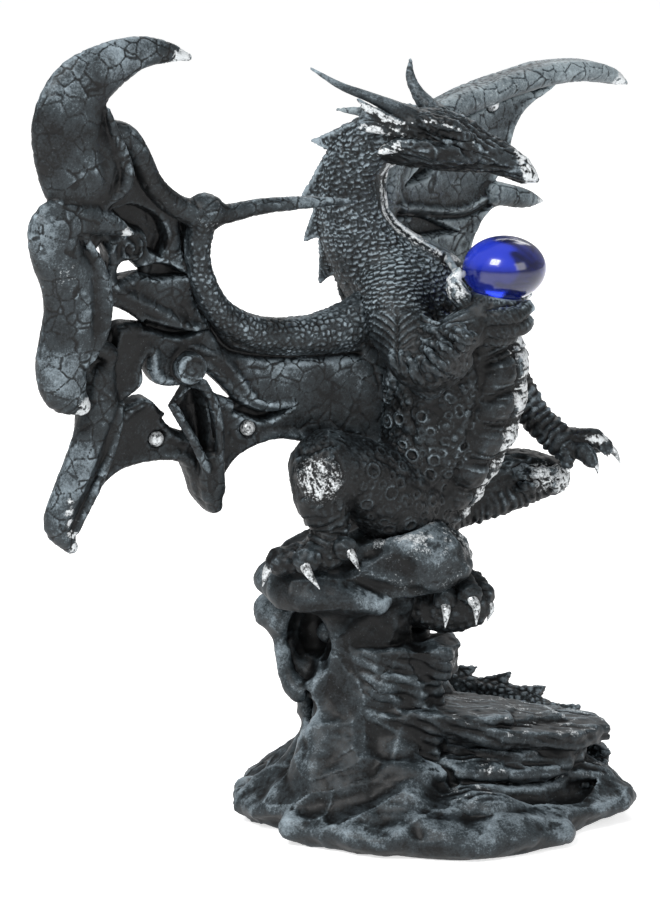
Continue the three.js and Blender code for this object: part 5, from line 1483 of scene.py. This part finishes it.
def silver_claw_paint():
    """Silver enamel brushed thinly over dark resin, so specks of black show at the roots."""
    material, tree = new_material("silver_paint_on_resin")
    place = add(tree, "ShaderNodeTexCoord").outputs["Object"]
    grain = add(tree, "ShaderNodeTexNoise", [(0, place)], i2=700.0, i3=4.0, i4=0.65).outputs[0]
    worn = add(tree, "ShaderNodeMapRange", [(0, grain)], i1=0.4, i2=0.56, i3=0.0, i4=1.0).outputs[0]
    colour = add(tree, "ShaderNodeMix", [(0, worn)], data_type="RGBA")
    colour.inputs[6].default_value, colour.inputs[7].default_value = hexed("1b1f22"), hexed("c9cdcf")
    metal = add(tree, "ShaderNodeMath", [(0, worn)], i1=0.55, operation="MULTIPLY").outputs[0]
    bump = add(tree, "ShaderNodeBump", [(2, grain)], i0=0.3, i1=0.0004)
    surface(tree, {"Roughness": 0.4}, [
        ("Base Color", colour.outputs[2]), ("Metallic", metal), ("Normal", bump.outputs[0]),
    ])
    return material


def cobalt_glass():
    """Cobalt glass, cast a little milky and polished: deep blue, soft inside, with sharp highlights."""
    material, tree = new_material("cobalt_glass")
    surface(tree, {
        "Base Color": hexed("2336b6"), "Roughness": 0.2, "Specular IOR Level": 0.15, "Coat Weight": 0.45,
        "Coat Roughness": 0.03, "IOR": 1.5, "Transmission Weight": 1.0,
    })
    return material


def light_table():
    """The white acrylic top of a light table: matt, and lit a little from beneath, so it reads as white."""
    material, tree = new_material("white_acrylic")
    surface(tree, {
        "Base Color": hexed("f4f4f4"), "Roughness": 0.9, "Emission Color": hexed("ffffff"),
        "Emission Strength": 0.66,
    })
    return material


# Names and colours of the dark in hollows (black-washed recesses and painted shade), base, high places and
# silver paint
RESINS = {
    "slate": ("painted_slate_resin", "060708", "2c3337", "8a979f", "cfd3d5"),
    # A paler copy of the slate paint for the far wing: painted light
    "lit_pale": ("painted_lit_pale_resin", "0f1214", "495257", "8d999e", "cfd3d5"),
}
MAKERS = {"silver": silver_claw_paint, "glass": cobalt_glass, "card": light_table}
LIBRARY = {}


def library(name):
    """Each material is made once, when a piece first asks for it."""
    if name not in LIBRARY:
        if name in RESINS:
            title, *colours = RESINS[name]
            LIBRARY[name] = painted_resin(title, *[hexed(colour) for colour in colours])
        else:
            LIBRARY[name] = MAKERS[name]()
    return LIBRARY[name]


# Small repeated pieces
def scatter_tree(name, material):
    """Geometry nodes: a round-headed stud on each point, turned to the point's aim."""
    tree = bpy.data.node_groups.new(name, "GeometryNodeTree")
    tree.interface.new_socket("Points", in_out="INPUT", socket_type="NodeSocketGeometry")
    tree.interface.new_socket("Radius", in_out="INPUT", socket_type="NodeSocketFloat")
    tree.interface.new_socket("Result", in_out="OUTPUT", socket_type="NodeSocketGeometry")
    given = add(tree, "NodeGroupInput")
    solid = add(tree, "GeometryNodeMeshUVSphere", [("Radius", given.outputs[1])])
    solid.inputs["Segments"].default_value = 28
    solid.inputs["Rings"].default_value = 16
    aim = add(tree, "GeometryNodeInputNamedAttribute", data_type="FLOAT_VECTOR")
    aim.inputs[0].default_value = "aim"
    turn = add(tree, "FunctionNodeAlignRotationToVector", [("Vector", aim.outputs[0])], axis="Z")
    placed = add(tree, "GeometryNodeInstanceOnPoints", [
        ("Points", given.outputs[0]), ("Instance", solid.outputs[0]), ("Rotation", turn.outputs[0]),
    ])
    real = add(tree, "GeometryNodeRealizeInstances", [(0, placed.outputs[0])])
    painted = add(tree, "GeometryNodeSetMaterial", [(0, real.outputs[0])])
    painted.inputs["Material"].default_value = material
    add(tree, "NodeGroupOutput", [(0, painted.outputs[0])])
    return tree


def studded(name, places, aim, radius, material):
    """Realises a stud at each place, in millimetres, as a plain mesh."""
    mesh = bpy.data.meshes.new(name)
    mesh.from_pydata([tuple(np.array(place) * MM) for place in places], [], [])
    aims = mesh.attributes.new("aim", "FLOAT_VECTOR", "POINT")
    aims.data.foreach_set("vector", np.ravel([aim] * len(places)))
    piece = linked(name, mesh)
    modifier = piece.modifiers.new("scatter", "NODES")
    modifier.node_group = scatter_tree(name, material)
    for item in modifier.node_group.interface.items_tree:
        if item.item_type == "SOCKET" and item.name == "Radius":
            modifier[item.identifier] = radius * MM
    make_plain(piece)
    return smoothed(piece)


def drawn(name, points, faces):
    """A smooth piece from points in millimetres and their faces."""
    mesh = bpy.data.meshes.new(name)
    mesh.from_pydata([tuple(point) for point in np.array(points) * MM], [], faces)
    mesh.update()
    return smoothed(linked(name, mesh))


def tube(stations, sides=12, detail=6):
    """A tapered tube with closed, pointed ends, as points and faces."""
    course = Course(stations, detail=detail)
    turn = 2 * math.pi * np.arange(sides) / sides
    ring = np.cos(turn)[None, :, None] * course.side[:, None, :] * course.wide[:, None, None]
    ring = ring + np.sin(turn)[None, :, None] * course.face[:, None, :] * course.deep[:, None, None]
    points = (course.middle[:, None, :] + ring).reshape(-1, 3)
    count = len(course.wide)
    faces = []
    for k in range(count - 1):
        for s in range(sides):
            n = (s + 1) % sides
            faces.append([k * sides + s, k * sides + n, (k + 1) * sides + n, (k + 1) * sides + s])
    ends = [course.middle[0] - 0.6 * course.tangent[0], course.middle[-1] + 0.4 * course.tangent[-1]]
    first, last = len(points), len(points) + 1
    points = np.vstack([points, ends])
    for s in range(sides):
        n = (s + 1) % sides
        faces.append([first, n, s, s])
        faces.append([last, (count - 1) * sides + s, (count - 1) * sides + n, (count - 1) * sides + n])
    return points, faces


def tubes_piece(name, routes):
    vertices, polygons = [], []
    for stations in routes:
        points, faces = tube(stations)
        start = len(vertices)
        vertices += list(points)
        polygons += [[start + c for c in dict.fromkeys(face)] for face in faces]
    return drawn(name, vertices, polygons)


def ball_form(sides=96, bands=48):
    """Points of the ball in rings from its lowest point up, and their faces."""
    x, y, z = BALL["centre"]
    points, faces = [(x, y, z - BALL["high"])], []
    for band in range(1, bands):
        polar = math.pi * band / bands
        reach = BALL["across"] * math.sin(polar)
        level = z - BALL["high"] * math.cos(polar)
        for side in range(sides):
            turn = 2 * math.pi * side / sides
            points.append((x + reach * math.cos(turn), y + reach * math.sin(turn), level))
    points.append((x, y, z + BALL["high"]))

    def at(band, side):
        return 1 + (band - 1) * sides + side % sides

    for side in range(sides):
        faces.append([0, at(1, side + 1), at(1, side)])
        faces.append([len(points) - 1, at(bands - 1, side), at(bands - 1, side + 1)])
    for band in range(1, bands - 1):
        for side in range(sides):
            faces.append([at(band, side), at(band, side + 1), at(band + 1, side + 1), at(band + 1, side)])
    return points, faces


# Settings
class DragonLook(bpy.types.PropertyGroup):
    """Sizes and strengths that a user may want to change."""

    triangles: IntProperty(
        name="Triangles", description="Most triangles that one cast piece keeps", default=TRIANGLES,
        min=20000,
    )
    stud_radius: FloatProperty(
        name="Stud radius", description="Radius of a wing stud", default=STUD["radius"] * MM, unit="LENGTH",
    )
    floor_size: FloatProperty(
        name="Floor size", description="Side of the card that the statue stands on", default=12.0,
        unit="LENGTH",
    )
    key_power: FloatProperty(
        name="Key light", description="Strength of the main lamp", default=34.0, unit="POWER",
    )
    fill_power: FloatProperty(
        name="Fill light", description="Strength of the lamps at the right and behind", default=9.0,
        unit="POWER",
    )


def look():
    return bpy.context.scene.dragon_look


class DRAGON_OT_body(bpy.types.Operator):
    """Sculpt the dragon's body, arms and legs"""

    bl_idname = "dragon.body"
    bl_label = "Dragon's body"

    def execute(self, context):
        cast(
            "dragon_body", dragon_clay(), carve_dragon, library("slate"), "slate_resin", "dragon_on_rock",
            triangles=look().triangles,
        )
        return {"FINISHED"}


class DRAGON_OT_head(bpy.types.Operator):
    """Sculpt the head with its horns and frill"""

    bl_idname = "dragon.head"
    bl_label = "Head, horns and frill"

    def execute(self, context):
        cast(
            "dragon_head", head_clay(), carve_head, library("slate"), "slate_resin", "dragon_on_rock",
            triangles=BUDGETS["head"],
        )
        return {"FINISHED"}


class DRAGON_OT_tail(bpy.types.Operator):
    """Sculpt the tail that lies round the rock"""

    bl_idname = "dragon.tail"
    bl_label = "Tail"

    def execute(self, context):
        cast(
            "dragon_tail", tail_clay(), carve_tail, library("slate"), "slate_resin", "dragon_on_rock",
            triangles=BUDGETS["tail"],
        )
        return {"FINISHED"}


class DRAGON_OT_claws(bpy.types.Operator):
    """Set the silver claws on the toes and fingers"""

    bl_idname = "dragon.claws"
    bl_label = "Claws"

    def execute(self, context):
        routes = []
        for root, bend, tip, radius in CLAWS:
            routes.append([[*root, radius], [*bend, 0.72 * radius], [*tip, 0.22]])
        hand_over(tubes_piece("claws", routes), library("silver"), "slate_resin", "dragon_on_rock")
        return {"FINISHED"}


class DRAGON_OT_rock(bpy.types.Operator):
    """Sculpt the rock plinth"""

    bl_idname = "dragon.rock"
    bl_label = "Rock plinth"

    def execute(self, context):
        cast(
            "rock_plinth", rock_clay(), carve_rock, library("slate"), "slate_resin", "dragon_on_rock",
            triangles=look().triangles, dry=0.5,
        )
        return {"FINISHED"}


def make_wing(node, slot, clay, wing, form, carve, paint, budget):
    """Casts a wing where it belongs, and sets a silver stud in each of its wells."""
    axes, root = wing_axes(wing), np.array(wing["root"])
    cast(node + "_casting", clay, carve, library(paint), slot, node, triangles=budget, axes=axes, root=root)
    places = []
    for u, v in form["studs"]:
        face = float(cup_at(wing, u)) + MEMBRANE / 2 - 0.7
        places.append(np.array([u, v, face]) @ axes + root)
    studs = studded(node + "_studs", places, axes[2], look().stud_radius / MM, library("silver"))
    hand_over(studs, library("silver"), slot, node)


class DRAGON_OT_wings(bpy.types.Operator):
    """Sculpt both wings and set their studs"""

    bl_idname = "dragon.wings"
    bl_label = "Wings"

    def execute(self, context):
        make_wing(
            "right_wing", "slate_resin", right_wing_clay(), RIGHT_WING, RIGHT_FORM,
            carve_wing(RIGHT_BONES, 1.0, RIGHT_TIPS, RIGHT_FLECKS, RIGHT_LIT, 0), "slate", look().triangles,
        )
        # The far wing gets the paler paint and a lift: painted light
        make_wing(
            "left_wing", "pale_slate_resin", left_wing_clay(), LEFT_WING, LEFT_FORM,
            carve_wing(LEFT_BONES, 0.6, LEFT_TIPS, LEFT_FLECKS, LEFT_LIT, 0.3), "lit_pale", BUDGETS["left_wing"],
        )
        return {"FINISHED"}


class DRAGON_OT_ball(bpy.types.Operator):
    """Make the glass ball that rests in the claws"""

    bl_idname = "dragon.ball"
    bl_label = "Glass ball"

    def execute(self, context):
        piece = drawn("glass_orb", *ball_form())
        hand_over(piece, library("glass"), "blue_glass", "glass_ball")
        return {"FINISHED"}


# The photo's view: a long lens a little above the statue, aimed at its middle
CAMERA = {
    "place": (-0.0392, -1.173777, 0.386184), "aim": (-0.0392, 0, 0.13669), "lens": 129.73, "sensor": 36.0,
}
LAMP_AIM = (-0.02, 0, 0.14)
FLOOR_DROP = 0.0002  # the floor lies this far under the statue, so that the two don't flicker
WORLD_LIGHT = 0.36


def aimed(name, data, spot, aim):
    """A lamp or camera at a spot, turned to its aim."""
    thing = linked(name, data)
    thing.location = spot
    thing.rotation_euler = (Vector(aim) - thing.location).to_track_quat("-Z", "Y").to_euler()
    return thing


class DRAGON_OT_stage(bpy.types.Operator):
    """Lay the floor and set the lamps and the camera"""

    bl_idname = "dragon.stage"
    bl_label = "Stage"

    def execute(self, context):
        half = look().floor_size / 2
        mesh = bpy.data.meshes.new("floor_card")
        corners = [(-half, -half, 0), (half, -half, 0), (half, half, 0), (-half, half, 0)]
        mesh.from_pydata(corners, [], [(0, 1, 2, 3)])
        floor = linked("floor_card", mesh)
        floor.location = (0, 0, -FLOOR_DROP)
        floor.data.materials.append(library("card"))
        lamps = (
            ("key_lamp", (-0.8, -1.2, 1.5), 0.8, look().key_power),
            ("fill_lamp", (1.2, -1.2, 0.9), 0.9, look().fill_power),
            ("back_lamp", (0.3, 1.5, 1.3), 0.9, look().fill_power),
        )
        for name, spot, size, power in lamps:
            data = bpy.data.lights.new(name, "AREA")
            data.size = size
            data.energy = power
            aimed(name, data, spot, LAMP_AIM)
        world = bpy.data.worlds.new("studio")
        world.use_nodes = True
        world.node_tree.nodes["Background"].inputs[0].default_value = (1, 1, 1, 1)
        world.node_tree.nodes["Background"].inputs[1].default_value = WORLD_LIGHT
        bpy.context.scene.view_settings.view_transform = "Standard"
        bpy.context.scene.world = world
        data = bpy.data.cameras.new("camera")
        data.lens = CAMERA["lens"]
        data.sensor_width = CAMERA["sensor"]
        data.clip_start = 0.05
        bpy.context.scene.camera = aimed("camera", data, CAMERA["place"], CAMERA["aim"])
        return {"FINISHED"}


class DRAGON_PT_panel(bpy.types.Panel):
    """Settings and steps of the statue"""

    bl_label = "Dragon statue"
    bl_idname = "DRAGON_PT_panel"
    bl_space_type = "VIEW_3D"
    bl_region_type = "UI"
    bl_category = "Dragon"

    def draw(self, context):
        for key in DragonLook.__annotations__:
            self.layout.prop(context.scene.dragon_look, key)
        for operator in OPERATORS:
            self.layout.operator(operator.bl_idname)


OPERATORS = (
    DRAGON_OT_body, DRAGON_OT_head, DRAGON_OT_tail, DRAGON_OT_claws, DRAGON_OT_rock, DRAGON_OT_wings,
    DRAGON_OT_ball, DRAGON_OT_stage,
)


def register():
    for part in (DragonLook, *OPERATORS, DRAGON_PT_panel):
        bpy.utils.register_class(part)
    bpy.types.Scene.dragon_look = PointerProperty(type=DragonLook)


def unregister():
    del bpy.types.Scene.dragon_look
    for part in reversed((DragonLook, *OPERATORS, DRAGON_PT_panel)):
        bpy.utils.unregister_class(part)


def main():
    register()
    for operator in OPERATORS:
        group, name = operator.bl_idname.split(".")
        getattr(getattr(bpy.ops, group), name)()


if __name__ == "__main__":
    main()
